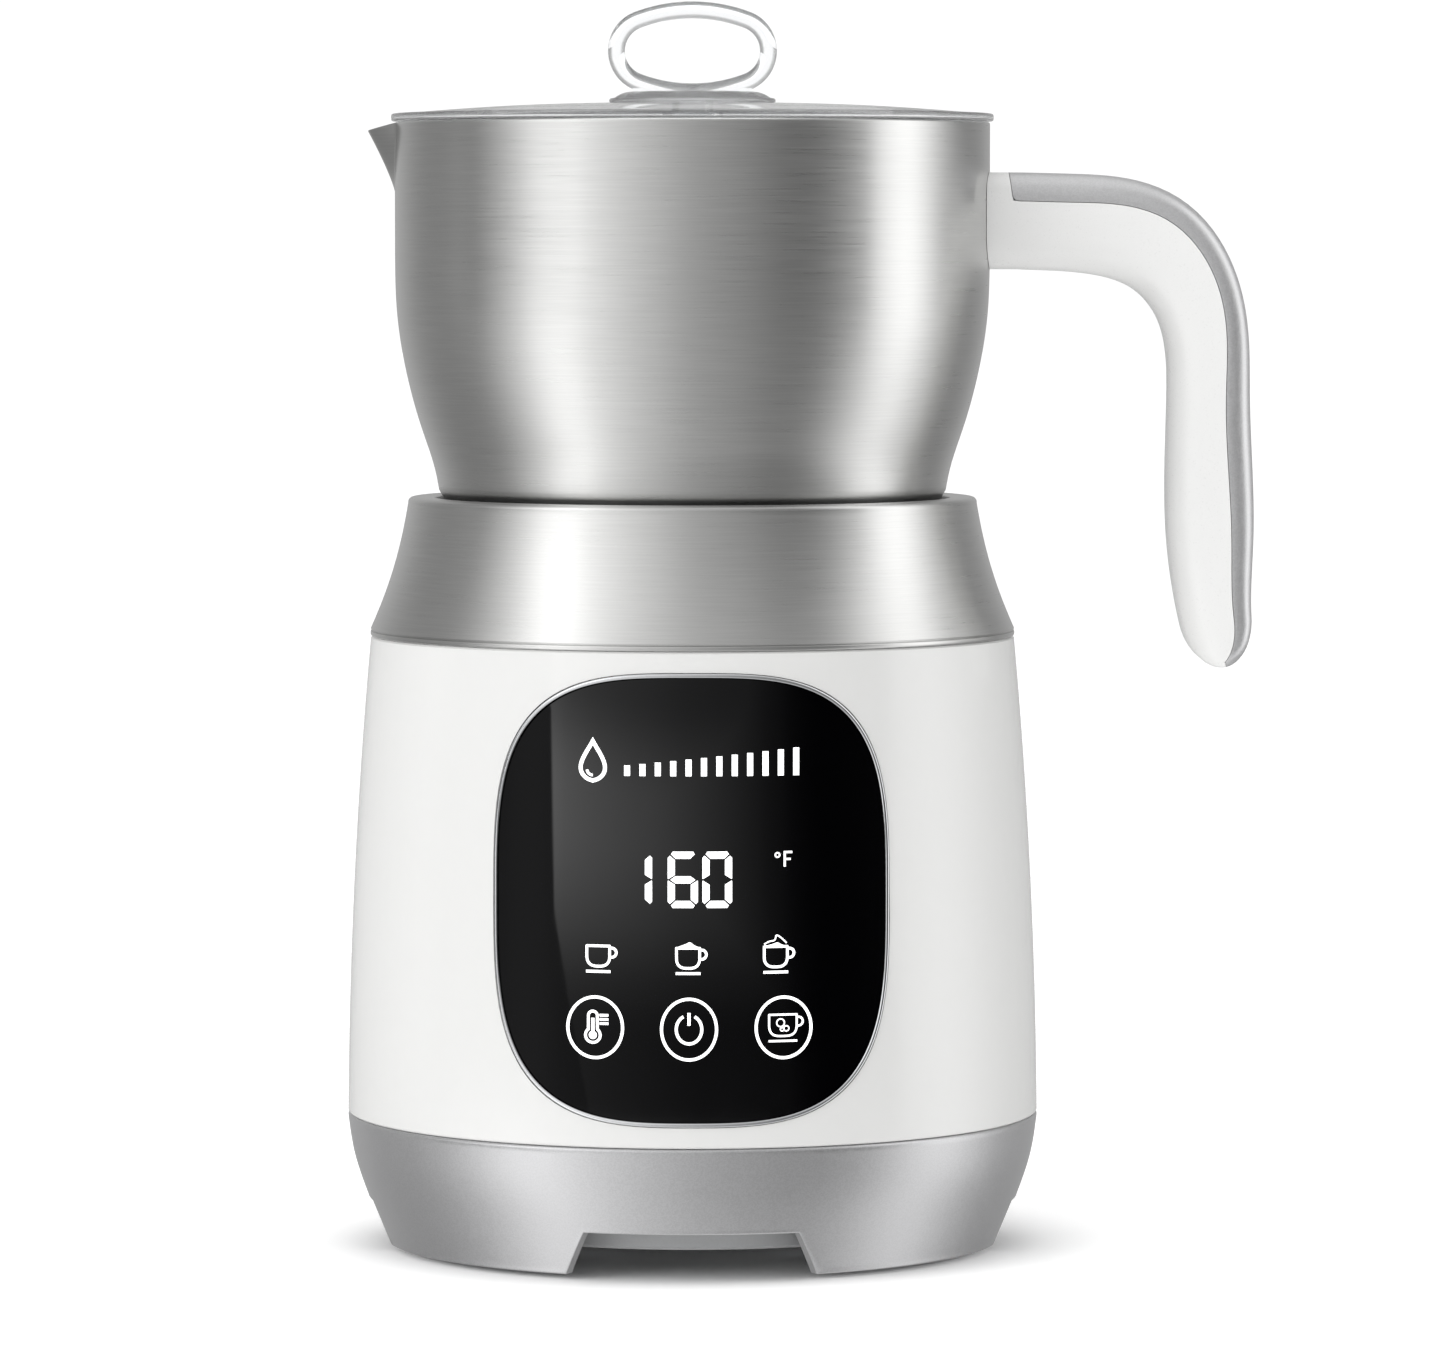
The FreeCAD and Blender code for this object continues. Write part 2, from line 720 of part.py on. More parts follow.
def fan_rotor():
    """A cup with seven pitched blades."""
    low = PAN_Z + PAN_T + 1.9
    high = PAN_Z + PAN_T + 9.5
    cup = turned((1.01, high - 1.6),
                 (10.0, high - 1.6),
                 (10.0, low),
                 (11.4, low),
                 (11.4, high),
                 (1.01, high))
    blades = []
    for i in range(7):
        blade = block(10.6, 22.9, -0.7, 0.7, -5, 5)
        blade.rotate(CENTRE, V(1, 0, 0), 42)
        blade.translate(V(0, 0, (low + high) / 2))
        blades.append(at_angle(blade, 360 / 7 * i))
    limits = ring(10.4, 22.8, low, high)
    return union([cup] + [blade.common(limits) for blade in blades])


def fan_axle():
    return rod(1.0, PAN_Z + PAN_T + 1.6, PAN_Z + PAN_T + 9.4)


# ---------------------------------------------------------------- jug

def spout_loft(inset):
    """Stacked V sections that grow from a point on the wall to the rim."""
    sections = []
    for z in (SPOUT_Z, (SPOUT_Z + JUG_RIM) / 2, JUG_RIM):
        share = (z - SPOUT_Z) / (JUG_RIM - SPOUT_Z)
        reach = JUG_R + 0.2 + (SPOUT_TIP - JUG_R) * share - inset
        half = 0.8 + (SPOUT_HALF - 0.8) * share - inset * 0.5
        back = JUG_R - 3.0
        blunt = 0.3 + 0.9 * share
        face = [V(-back, half, z), V(-(JUG_R - 0.5), half, z), V(-reach + blunt * 0.35, blunt * 0.8, z),
                V(-reach, 0, z), V(-reach + blunt * 0.35, -blunt * 0.8, z), V(-(JUG_R - 0.5), -half, z),
                V(-back, -half, z)]
        sections.append(Part.makePolygon(face + face[:1]))
    return positive(Part.makeLoft(sections, True, True))


def jug_pot():
    """A deep-drawn jug: a turned foot, a waisted lower wall, a straight upper wall and a pressed spout."""
    inner = JUG_R - JUG_WALL
    outer_wall = [(51.4, 155.0), (54.0, 163.2), (57.2, 175.0), (59.0, 187.0), (JUG_R, 198.0)]
    inner_wall = [(58.15, 187.0), (56.35, 175.3), (53.2, 163.5), (50.55, 155.2), (49.8, 151.6)]
    pot = turned((0, 148.2),
                 (47.0, 148.2),
                 (47.4, JUG_FOOT),
                 (48.4, JUG_FOOT),
                 (49.7, 149.6),
                 ((50.35, 150.3), (50.65, 151.2)),
                 outer_wall,
                 (JUG_R, JUG_RIM - 0.4),
                 ((JUG_R - 0.4, JUG_RIM), (inner, JUG_RIM - 0.4)),
                 (inner, 198.0),
                 inner_wall,
                 ((49.0, 149.7), (47.2, JUG_FLOOR)),
                 (0, JUG_FLOOR))
    pot = union([pot, spout_loft(0).cut(rod(inner + 0.1, 200, 230))])
    tip = outline((-70, JUG_RIM + 2), (-70, 221.7), (-SPOUT_TIP, 222.9), (-JUG_R, JUG_RIM), (-50, JUG_RIM + 2))
    return pot.cut([spout_loft(0.9), extruded(tip, 12)])


def jug_heating_disc():
    """The magnetic steel plate that the coil heats, let into the jug's foot."""
    return rod(46.6, JUG_FOOT + 0.1, 148.2)


def whisk_post():
    return turned((0, JUG_FLOOR),
                  (4.0, JUG_FLOOR),
                  (4.0, JUG_FLOOR + 0.6),
                  (2.0, JUG_FLOOR + 1.2),
                  (2.0, POST_TOP - 0.8),
                  (1.2, POST_TOP),
                  (0, POST_TOP))


def handle_blank():
    """The whole handle, a hooked slab with rounded edges, before it is split in two."""
    side = outline((50.0, 214.4),
                   (74.0, 214.3),
                   [(92.1, 211.6), (102.4, 204.2), (108.0, 191.0), (111.0, 168.0), (111.8, 136.4),
                    (111.2, 121.6)],
                   ((108.6, 116.4), (103.4, 116.9)),
                   [(97.9, 124.0), (95.0, 139.0), (95.0, 160.5), (95.3, 177.0), (91.0, 189.4),
                    (80.0, 194.3)],
                   (66.0, 195.0),
                   (50.0, 195.4))
    slab = extruded(side, HANDLE_HALF)
    edges = [edge for edge in slab.Edges if edge.BoundBox.YLength < 0.01]
    edges = [edge for edge in edges if edge.BoundBox.XMax > 50.1]
    return slab.makeFillet(HANDLE_ROUND, edges)


def spine_zone(gap):
    """What lies outside the seam, as seen from the side."""
    seam = outline((62.8 - gap, 216.0),
                   (63.6 - gap, 209.9 - gap),
                   ((63.95 - gap * 0.7, 209.2 - gap * 0.7), (64.7, 208.9 - gap)),
                   (74.1, 208.6 - gap),
                   [(87.9 - gap * 0.3, 206.8 - gap), (98.3 - gap * 0.7, 200.7 - gap * 0.7),
                    (104.0 - gap, 189.4), (105.8 - gap, 169.4), (107.3 - gap, 140.0),
                    (107.8 - gap, 122.0), (106.9 - gap, 112.0)],
                   (125.0, 112.0),
                   (125.0, 225.0),
                   (62.8 - gap, 225.0))
    return extruded(seam, HANDLE_HALF + 2)


def bracket_solid(grow):
    """The welded plate and its tongue, grown all round to make the pocket that takes it."""
    plate = Part.makeCylinder(61.0 + grow, 12 + 2 * grow, V(0, 0, 198.5 - grow), UP)
    plate = plate.cut(rod(JUG_R + 0.02 - grow, 190, 220))
    plate = plate.common(block(40, 70, -7 - grow, 7 + grow, 190, 220))
    tongue = block(60.6, 88 + grow, -5 - grow, 5 + grow, TONGUE_Z - grow, TONGUE_Z + 2 + grow)
    return union([plate, tongue])


def handle_bracket():
    return bracket_solid(0).cut([rod(1.45, 195, 210, x, 0) for x in HANDLE_SCREWS])


def handle_grip():
    grip = handle_blank().cut([spine_zone(0.06), rod(JUG_R + 0.06, 190, 220), bracket_solid(0.1)])
    holes = []
    for x in HANDLE_SCREWS:
        holes.append(rod(1.6, TONGUE_Z - 2, 210, x, 0))
        holes.append(rod(2.9, 205.4, 216, x, 0))
    return grip.cut(holes)


def handle_spine():
    return handle_blank().common(spine_zone(0))


def handle_screws():
    return group([screw(205.4, TONGUE_Z - 1, 2.7, 1.4, x, 0) for x in HANDLE_SCREWS])


# ---------------------------------------------------------------- whisk

def whisk_hub():
    hub = turned((2.05, 150.4),
                 (13.2, 150.4),
                 (14.0, 151.2),
                 (14.0, 154.2),
                 ((13.2, 155.6), (11.4, 156.0)),
                 [(7.0, 157.6), (4.6, 162.0)],
                 ((4.0, 163.4), (2.4, 164.0)),
                 (0, 164.0),
                 (0, POST_TOP + 0.3),
                 (2.05, POST_TOP + 0.3))
    pockets = [rod(4.05, 149, 154, x, 0) for x in (-MAGNET_CIRCLE, MAGNET_CIRCLE)]
    return hub.cut(pockets)


def whisk_magnets():
    return group([rod(4.0, 150.5, 153.9, x, 0) for x in (-MAGNET_CIRCLE, MAGNET_CIRCLE)])


def whisk_arms(radius):
    arms = []
    for angle in (90, 210, 330):
        x, y = polar(1, angle)
        arms.append(Part.makeCylinder(radius, 6.0, V(14.05 * x, 14.05 * y, 153.0), V(x, y, 0)))
    return arms


def whisk_frame():
    """The ring that the spring is threaded on, with three arms to the hub."""
    return union([Part.makeTorus(20.5, 0.9, V(0, 0, 153.0), UP)] + whisk_arms(0.9))


def whisk_coil():
    """The closed spring, as the tube that its turns fill."""
    tube = Part.makeTorus(20.5, 3.0, V(0, 0, 153.4), UP)
    return tube.cut([Part.makeTorus(20.5, 1.1, V(0, 0, 153.0), UP)] + whisk_arms(1.1))


# ---------------------------------------------------------------- lid

def lid_disc():
    """A clear disc, flat at the middle and domed towards its edge, with a plug ring below."""
    top = LID_Z + LID_EDGE
    disc = turned((4.1, LID_TOP),
                  (17.5, LID_TOP),
                  ((38.0, 227.6), (57.0, top + 0.1)),
                  (LID_R - 0.6, top),
                  ((LID_R - 0.05, LID_Z + 0.75), (LID_R - 0.5, LID_Z)),
                  (56.4, LID_Z),
                  (56.4, 219.8),
                  (54.8, 219.8),
                  (54.8, LID_Z - 0.2),
                  ((38.0, 225.9), (17.5, LID_TOP - 1.7)),
                  (4.1, LID_TOP - 1.7))
    return disc


def lid_gasket():
    """A silicone ring on the plug, with a soft lip towards the jug's wall."""
    return turned((56.42, 220.4),
                  (57.4, 220.4),
                  ((58.15, 221.0), (57.6, 222.0)),
                  ((58.15, 222.6), (57.4, 223.4)),
                  (56.42, 223.4))


def loop_tube():
    """The finger loop: an oval of four tangent arcs, swept with a round section."""
    reach = LOOP_A - LOOP_END
    flat = (reach ** 2 + LOOP_B ** 2 - LOOP_END ** 2) / (2 * (LOOP_B - LOOP_END))
    span = math.hypot(reach, flat - LOOP_B)
    x = reach + reach / span * LOOP_END
    z = (flat - LOOP_B) / span * LOOP_END
    turns = [(x, -z), (LOOP_A, 0), (x, z), (0, LOOP_B), (-x, z), (-LOOP_A, 0), (-x, -z), (0, -LOOP_B)]
    points = [V(px, 0, LOOP_Z + pz) for px, pz in turns + turns[:1]]
    arcs = [Part.Arc(*points[i:i + 3]).toShape() for i in (0, 2, 4, 6)]
    section = Part.Wire(Part.makeCircle(LOOP_R, points[0], V(z, 0, x - reach)))
    return positive(Part.Wire(arcs).makePipeShell([section], True, False))


def lid_knob():
    """A clear loop on a domed foot, with a stud through the lid and a flattened head below it."""
    foot = turned((0, LID_TOP),
                  (KNOB_R - 0.3, LID_TOP),
                  ((KNOB_R, LID_TOP + 0.4), (KNOB_R - 0.8, LID_TOP + 0.8)),
                  ((14.2, 230.1), (11.6, 230.5)),
                  (0, 230.7))
    waist = block(-11.9, 11.9, -1.45, 1.45, 229.4, 231.25)
    stud = union([rod(4.0, LID_TOP - 2.6, LID_TOP + 0.1), rod(6.0, LID_TOP - 3.0, LID_TOP - 1.72)])
    return union([foot, loop_tube(), waist, stud])


# ---------------------------------------------------------------- output

NODES = (
    base_shell, base_collar, base_skirt, bottom_plate, foot_pads, bottom_screws, cord_gland,
    panel_bezel, panel_glass, panel_carrier, display_board, led_digit_module, touch_electrodes,
    seat_deck, deck_gasket, deck_screws, coil_former, former_screws, induction_coil, coil_leads,
    ferrite_bars, sensor_guide, sensor_seal, sensor_cap, sensor_spring,
    motor_can, motor_magnets, motor_end_cap, motor_bushings, motor_bracket, motor_screws,
    bracket_screws, drive_shaft, motor_armature, magnet_carrier, drive_magnets,
    power_board, board_screws, heat_sink, power_transistors, filter_capacitors, power_choke,
    fan_frame, fan_screws, fan_rotor, fan_axle,
    jug_pot, jug_heating_disc, whisk_post, handle_bracket, handle_grip, handle_spine, handle_screws,
    whisk_hub, whisk_magnets, whisk_frame, whisk_coil,
    lid_disc, lid_knob, lid_gasket,
)

os.makedirs("parts", exist_ok=True)
for make in NODES:
    shape = make()
    state = "ok" if shape.isValid() else "INVALID"
    print(f"{make.__name__:20s} {state} solids {len(shape.Solids)} volume {shape.Volume:.1f}")
    shape.exportStep("parts/" + make.__name__ + ".step")
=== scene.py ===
"""Milk frother with a lift-off jug: the finished look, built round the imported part.

The axis of the round base is Z, the touch panel faces -Y, the handle points to +X and the spout
to -X. Shapes are worked out in millimetres and written to the meshes in metres.
"""
import json
import math

import bmesh
import bpy
import numpy as np
from mathutils import Euler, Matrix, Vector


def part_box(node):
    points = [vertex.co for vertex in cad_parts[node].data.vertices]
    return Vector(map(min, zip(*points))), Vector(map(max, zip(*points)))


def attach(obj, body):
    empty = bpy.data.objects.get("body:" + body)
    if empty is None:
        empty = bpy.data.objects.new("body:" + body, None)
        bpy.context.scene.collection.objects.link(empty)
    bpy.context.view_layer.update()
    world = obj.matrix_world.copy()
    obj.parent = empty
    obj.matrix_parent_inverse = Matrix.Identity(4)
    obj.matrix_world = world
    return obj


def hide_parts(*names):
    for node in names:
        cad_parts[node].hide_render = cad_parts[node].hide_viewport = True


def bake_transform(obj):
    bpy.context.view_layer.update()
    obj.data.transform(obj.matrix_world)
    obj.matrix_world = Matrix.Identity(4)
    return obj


bl_info = {
    "name": "Milk Frother",
    "version": (1, 0, 0),
    "blender": (4, 5, 0),
    "location": "3D View > Sidebar > Frother",
    "description": "Builds the milk frother's finished surfaces and its studio",
    "category": "Object",
}

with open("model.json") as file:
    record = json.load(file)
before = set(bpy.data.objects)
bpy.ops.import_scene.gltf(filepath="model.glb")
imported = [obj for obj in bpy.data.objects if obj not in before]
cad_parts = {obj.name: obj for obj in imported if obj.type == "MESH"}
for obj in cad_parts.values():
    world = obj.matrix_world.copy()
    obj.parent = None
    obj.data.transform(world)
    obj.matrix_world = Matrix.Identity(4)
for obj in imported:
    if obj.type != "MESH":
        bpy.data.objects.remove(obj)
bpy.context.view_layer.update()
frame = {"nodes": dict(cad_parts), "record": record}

MM = 0.001                     # metres in a millimetre


def node_box(node):
    """A node's lowest and highest corner in millimetres."""
    low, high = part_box(node)
    return np.array(low) / MM, np.array(high) / MM


POT_LOW, POT_HIGH = node_box("jug_pot")
BEZEL_LOW, BEZEL_HIGH = node_box("panel_bezel")

JUG_RADIUS = float(POT_HIGH[1])
JUG_RIM = float(POT_HIGH[2])
SPOUT_REACH = float(-POT_LOW[0]) - JUG_RADIUS + 0.4
PANEL_MIDDLE = float(BEZEL_LOW[2] + BEZEL_HIGH[2]) / 2


# ---------------------------------------------------------------- settings

class FrotherSizes(bpy.types.PropertyGroup):
    """Sizes that a user would change."""

    jug_radius: bpy.props.FloatProperty(
        name="Jug radius", description="Outer radius of the jug's straight wall",
        default=JUG_RADIUS * MM, unit="LENGTH", precision=4)
    jug_wall: bpy.props.FloatProperty(
        name="Jug wall", description="Thickness of the jug's steel",
        default=0.8 * MM, unit="LENGTH", precision=4)
    spout_angle: bpy.props.FloatProperty(
        name="Spout half angle",
        description="Angle round the axis from the spout's edge to its crease",
        default=math.radians(8.5), subtype="ANGLE")
    handle_half: bpy.props.FloatProperty(
        name="Handle half width", description="Half the handle's width across the hand",
        default=11.0 * MM, unit="LENGTH", precision=4)
    print_line: bpy.props.FloatProperty(
        name="Icon line", description="Width of the lines of the panel's icons",
        default=0.50 * MM, unit="LENGTH", precision=5)
    whisk_turns: bpy.props.IntProperty(
        name="Whisk turns", description="Number of turns of the whisk's closed spring",
        default=62, min=12)


class FrotherColours(bpy.types.PropertyGroup):
    """Colours that a user would change, as sRGB."""

    body: bpy.props.FloatVectorProperty(
        name="Body", description="Gloss white of the moulded body",
        subtype="COLOR_GAMMA", size=3, default=(0.86, 0.86, 0.855), min=0, max=1)
    trim: bpy.props.FloatVectorProperty(
        name="Trim", description="Silver lacquer of the lower ring",
        subtype="COLOR_GAMMA", size=3, default=(0.76, 0.76, 0.765), min=0, max=1)
    steel: bpy.props.FloatVectorProperty(
        name="Steel", description="Brushed stainless steel",
        subtype="COLOR_GAMMA", size=3, default=(0.80, 0.80, 0.795), min=0, max=1)
    glow: bpy.props.FloatProperty(
        name="Icon glow", description="Brightness of the lit numerals and icons", default=0.9, min=0)


# ---------------------------------------------------------------- curves and surfaces

def smooth(knots, where):
    """A natural cubic curve through the knots, read at the given shares of its chord length.

    Each coordinate is a cubic between two knots, with slope and curvature carried across every
    knot and no curvature at the two ends.
    """
    p = np.asarray(knots, float)
    step = np.linalg.norm(np.diff(p, axis=0), axis=1)
    t = np.concatenate([[0.0], np.cumsum(step)])
    h = step[:, None]
    inside = np.arange(1, len(p) - 1)
    system = np.eye(len(p))
    system[inside, inside - 1] = step[:-1]
    system[inside, inside] = 2 * (step[:-1] + step[1:])
    system[inside, inside + 1] = step[1:]
    slope = np.diff(p, axis=0) / h
    right = np.zeros_like(p)
    right[inside] = 6 * np.diff(slope, axis=0)
    bend = np.linalg.solve(system, right)
    s = np.clip(np.asarray(where, float), 0, 1) * t[-1]
    k = np.clip(np.searchsorted(t, s, side="right") - 1, 0, len(p) - 2)
    a = (t[k + 1] - s)[:, None] / h[k]
    b = 1 - a
    curved = (a ** 3 - a) * bend[k] + (b ** 3 - b) * bend[k + 1]
    return a * p[k] + b * p[k + 1] + curved * h[k] ** 2 / 6


def curve(knots, count):
    return smooth(knots, np.linspace(0, 1, count))


def unit(vectors):
    """Each row divided by its length."""
    return vectors / np.linalg.norm(vectors, axis=1)[:, None]


def direction(path, closed):
    """A path's direction at each point: from the point before it to the one after it."""
    if closed:
        return unit(np.roll(path, -1, axis=0) - np.roll(path, 1, axis=0))
    return unit(np.gradient(path, axis=0))


def section_rings(path, side, rise, across, up):
    """A section's points stood at each point of a path: across along side, and up along rise."""
    across, up = np.asarray(across)[None, :, None], np.asarray(up)[None, :, None]
    return path[:, None] + across * side[:, None] + up * rise[:, None]


def wound_wire(path, side, radius, sides, closed):
    """A round wire along a path: each ring spans side and what stands square to it and the path."""
    a = full_turn(sides)
    rise = np.cross(direction(path, closed), side)
    return section_rings(path, side, rise, radius * np.cos(a), radius * np.sin(a))


def rounded(corners, radii, steps=5):
    """A closed outline whose corners are eased: each one is a parabola that touches both sides
    at a distance of its radius from the corner, or at half the side where that is shorter."""
    p = np.asarray(corners, float)
    before = np.roll(p, 1, axis=0) - p
    after = np.roll(p, -1, axis=0) - p
    length_before = np.linalg.norm(before, axis=1)
    length_after = np.linalg.norm(after, axis=1)
    cut = np.minimum(np.asarray(radii, float), 0.5 * np.minimum(length_before, length_after))
    start = p + before / length_before[:, None] * cut[:, None]
    end = p + after / length_after[:, None] * cut[:, None]
    s = np.linspace(0, 1, steps)[None, :, None]
    arcs = (1 - s) ** 2 * start[:, None] + 2 * s * (1 - s) * p[:, None] + s ** 2 * end[:, None]
    return arcs.reshape(-1, 2)


def points(*coordinates):
    """Points from their coordinates: each is an array, or one number for all."""
    return np.stack(np.broadcast_arrays(*coordinates), axis=-1)


def round_z(radius, height, angles):
    """Points round Z: x is r cos a and y is r sin a."""
    return points(radius * np.cos(angles), radius * np.sin(angles), height)


def oval(x, z, half_width, half_height, start=0.0, end=360.0, count=48):
    """Points of an ellipse: its middle plus half width times cosine and half height times sine."""
    a = np.radians(np.linspace(start, end, count, endpoint=end - start < 359.9))
    return points(x + half_width * np.cos(a), z + half_height * np.sin(a))


def turned(outline, count):
    """An outline of radius and height carried once round Z in equal steps."""
    outline = np.asarray(outline)
    return round_z(outline[:, :1], outline[:, 1:], full_turn(count)[None, :])


def full_turn(count):
    return np.linspace(0, 2 * math.pi, count, endpoint=False)


def capped(grid):
    """The grid with its first and last rows drawn together to their middles."""
    first = np.broadcast_to(grid[:1].mean(axis=1, keepdims=True), grid[:1].shape)
    last = np.broadcast_to(grid[-1:].mean(axis=1, keepdims=True), grid[-1:].shape)
    return np.concatenate([first, grid, last])


def grid_faces(rows, columns, close_rows, close_columns):
    """The quads between neighbouring points of a grid, and where their corners lie on it."""
    r, c = np.meshgrid(np.arange(rows - (not close_rows)), np.arange(columns - (not close_columns)),
                       indexing="ij")
    corner_rows = np.stack([r, r, r + 1, r + 1], axis=-1).reshape(-1, 4)
    corner_columns = np.stack([c, c + 1, c + 1, c], axis=-1).reshape(-1, 4)
    faces = (corner_rows % rows) * columns + corner_columns % columns
    places = np.stack([corner_columns / columns, corner_rows / rows], axis=-1)
    return faces, places


def piece(name, grids, material, body, stands_for=(), crease=35):
    """One object from grids of points in millimetres.

    A grid is (points, close rows, close columns). Neighbouring points are joined by quads, the
    doubles at seams and poles are merged, and the faces are turned outwards. The UV map runs
    with the columns across and with the rows up. A piece with no body is left without a parent.
    """
    corners, faces, places = [], [], []
    first = 0
    for grid, close_rows, close_columns in grids:
        rows, columns = grid.shape[:2]
        f, uv = grid_faces(rows, columns, close_rows, close_columns)
        corners.append(grid.reshape(-1, 3) * MM)
        faces.append(f + first)
        places.append(uv.reshape(-1, 2))
        first += rows * columns
    mesh = bpy.data.meshes.new(name)
    mesh.from_pydata(np.concatenate(corners), [], np.concatenate(faces).tolist())
    uv_map = mesh.uv_layers.new(name="surface")
    uv_map.data.foreach_set("uv", np.concatenate(places).astype(np.float32).ravel())
    work = bmesh.new()
    work.from_mesh(mesh)
    bmesh.ops.remove_doubles(work, verts=work.verts, dist=2e-6)
    bmesh.ops.dissolve_degenerate(work, edges=work.edges, dist=1e-7)
    bmesh.ops.recalc_face_normals(work, faces=work.faces)
    work.to_mesh(mesh)
    work.free()
    mesh.shade_smooth()
    mesh.set_sharp_from_angle(angle=math.radians(crease))
    mesh.materials.append(material)
    made = bpy.data.objects.new(name, mesh)
    bpy.context.scene.collection.objects.link(made)
    if body:
        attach(made, body)
    if stands_for:
        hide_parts(*stands_for)
    return made


def let_light_through(clear):
    """Clear plastic casts no shadow of its own here, so that the inside below it is lit."""
    clear.visible_shadow = False


# ---------------------------------------------------------------- materials

def linear(colour):
    """Scene-linear values of an sRGB colour, given as a hex number or as three shares."""
    if isinstance(colour, int):
        colour = [(colour >> shift & 255) / 255 for shift in (16, 8, 0)]
    return [c / 12.92 if c <= 0.04045 else ((c + 0.055) / 1.055) ** 2.4 for c in colour]


def connect(tree, node, sockets):
    """Sets a node's sockets, given by name or as a row in their own order. A value is a number,
    or what is linked there: an output, or a node for its first output."""
    for key, value in (sockets.items() if isinstance(sockets, dict) else enumerate(sockets)):
        if isinstance(value, bpy.types.Node):
            value = value.outputs[0]
        if isinstance(value, bpy.types.NodeSocket):
            tree.links.new(value, node.inputs[key])
        else:
            node.inputs[key].default_value = value


def add(tree, kind, sockets=(), **settings):
    """Adds a node with its settings and links."""
    made = tree.nodes.new("ShaderNode" + kind)
    for key, value in settings.items():
        setattr(made, key, value)
    connect(tree, made, sockets)
    return made


def principled(tree):
    return next(node for node in tree.nodes if node.type == "BSDF_PRINCIPLED")


def per_mm(size):
    """Pattern scale for object coordinates in metres, for a feature of that size in millimetres."""
    return 1.0 / (size * MM)


IOR_SOCKETS = {"ior": "IOR", "coat_ior": "Coat IOR"}


def finish(name, colour, roughness, grain=1.0, stretch=(1, 1, 1), spread=0.03, rough_spread=0.03,
           bump=0.0, pattern="NOISE", cloud=25.0, cloud_spread=0.02, tangent=False, **constants):
    """A finish whose grain has a real size.

    grain is the size of its texture in mm and stretch multiplies that size along each axis.
    spread and rough_spread are how far colour and roughness swing with the grain, bump is the
    grain's height in mm, and cloud is the size in mm of a slow, faint change over the surface.
    The constants are the shader's own sockets.
    """
    known = bpy.data.materials.get(name)
    if known:
        return known
    made = bpy.data.materials.new(name)
    made.use_nodes = True
    tree = made.node_tree
    place = add(tree, "TexCoord").outputs["Object"]
    scaled = add(tree, "Mapping", {"Vector": place, "Scale": [1 / s for s in stretch]})
    if pattern == "CELLS":
        height = add(tree, "TexVoronoi", {"Vector": scaled, "Scale": per_mm(grain)})
        value = add(tree, "SeparateColor", (height.outputs["Color"],))
    else:
        height = add(tree, "TexNoise", {"Vector": scaled, "Scale": per_mm(grain), "Detail": 3.0})
        value = height
    slow = add(tree, "TexNoise", {"Vector": place, "Scale": per_mm(cloud), "Detail": 2.0})
    swing = add(tree, "MapRange", (value, 0.25, 0.75, 1 - spread, 1 + spread))
    drift = add(tree, "MapRange", (slow, 0.3, 0.7, 1 - cloud_spread, 1.0))
    level = add(tree, "Math", (swing, drift), operation="MULTIPLY")
    least = max(0.0, roughness - rough_spread)
    sockets = {
        "Base Color": add(tree, "VectorMath", {0: linear(colour), 3: level}, operation="SCALE"),
        "Roughness": add(tree, "MapRange", (value, 0.25, 0.75, least, roughness + rough_spread))}
    if bump:
        relief = {"Height": height, "Distance": bump * MM, "Strength": 1.0}
        sockets["Normal"] = add(tree, "Bump", relief)
    if tangent:
        sockets["Tangent"] = add(tree, "Tangent", direction_type="UV_MAP", uv_map="surface")
    for key, amount in constants.items():
        sockets[IOR_SOCKETS.get(key, key.replace("_", " ").title())] = amount
    connect(tree, principled(tree), sockets)
    return made


def colours():
    return bpy.context.scene.frother_colours


def sizes():
    return bpy.context.scene.frother_sizes


def brushed_stainless():
    # Deep-drawn 18/8 stainless steel, belt-brushed round the axis. The hairlines run round the
    # jug, so highlights spread up and down into soft upright bands. Real lines are about 0.1 mm
    # apart; they are drawn 0.3 mm apart so that they show.
    return finish("brushed_stainless", colours().steel, 0.30, grain=0.3, stretch=(50, 50, 1),
                  spread=0.06, rough_spread=0.035, bump=0.0020, cloud=22, cloud_spread=0.04,
                  tangent=True, metallic=1.0, anisotropic=0.88, anisotropic_rotation=0.25)


def gloss_white_abs():
    # Injection-moulded ABS from a polished tool: a clear gloss with the faintest orange peel,
    # about 2.5 mm from crest to crest.
    return finish("gloss_white_abs", colours().body, 0.11, grain=2.5, spread=0.004,
                  rough_spread=0.015, bump=0.0012, cloud=60, cloud_spread=0.01, ior=1.54)


def satin_white_abs():
    # Injection-moulded ABS from a finely etched tool: the 0.35 mm grain breaks the highlight up
    # into a satin sheen. The real grain is half as large.
    return finish("satin_white_abs", 0xE9E9E8, 0.30, grain=0.35, spread=0.006, rough_spread=0.04,
                  bump=0.0015, cloud=45, cloud_spread=0.012, ior=1.54)


def silver_lacquer():
    # ABS sprayed with a fine aluminium-flake lacquer. The flakes, about 0.06 mm in life and drawn
    # at 0.22 mm, sparkle a little one by one under a satin clear coat.
    return finish("silver_flake_lacquer", colours().trim, 0.36, grain=0.22, spread=0.05,
                  rough_spread=0.05, bump=0.002, pattern="CELLS", cloud=40,
                  metallic=0.82, coat_weight=0.25, coat_roughness=0.22, coat_ior=1.5)


def spine_lacquer():
    # The same lacquer in a lighter, more even grade on the handle's back.
    return finish("satin_grey_lacquer", 0xD0D0D1, 0.38, grain=0.25, spread=0.04, rough_spread=0.05,
                  bump=0.002, pattern="CELLS", cloud=40,
                  metallic=0.75, coat_weight=0.2, coat_roughness=0.25, coat_ior=1.5)


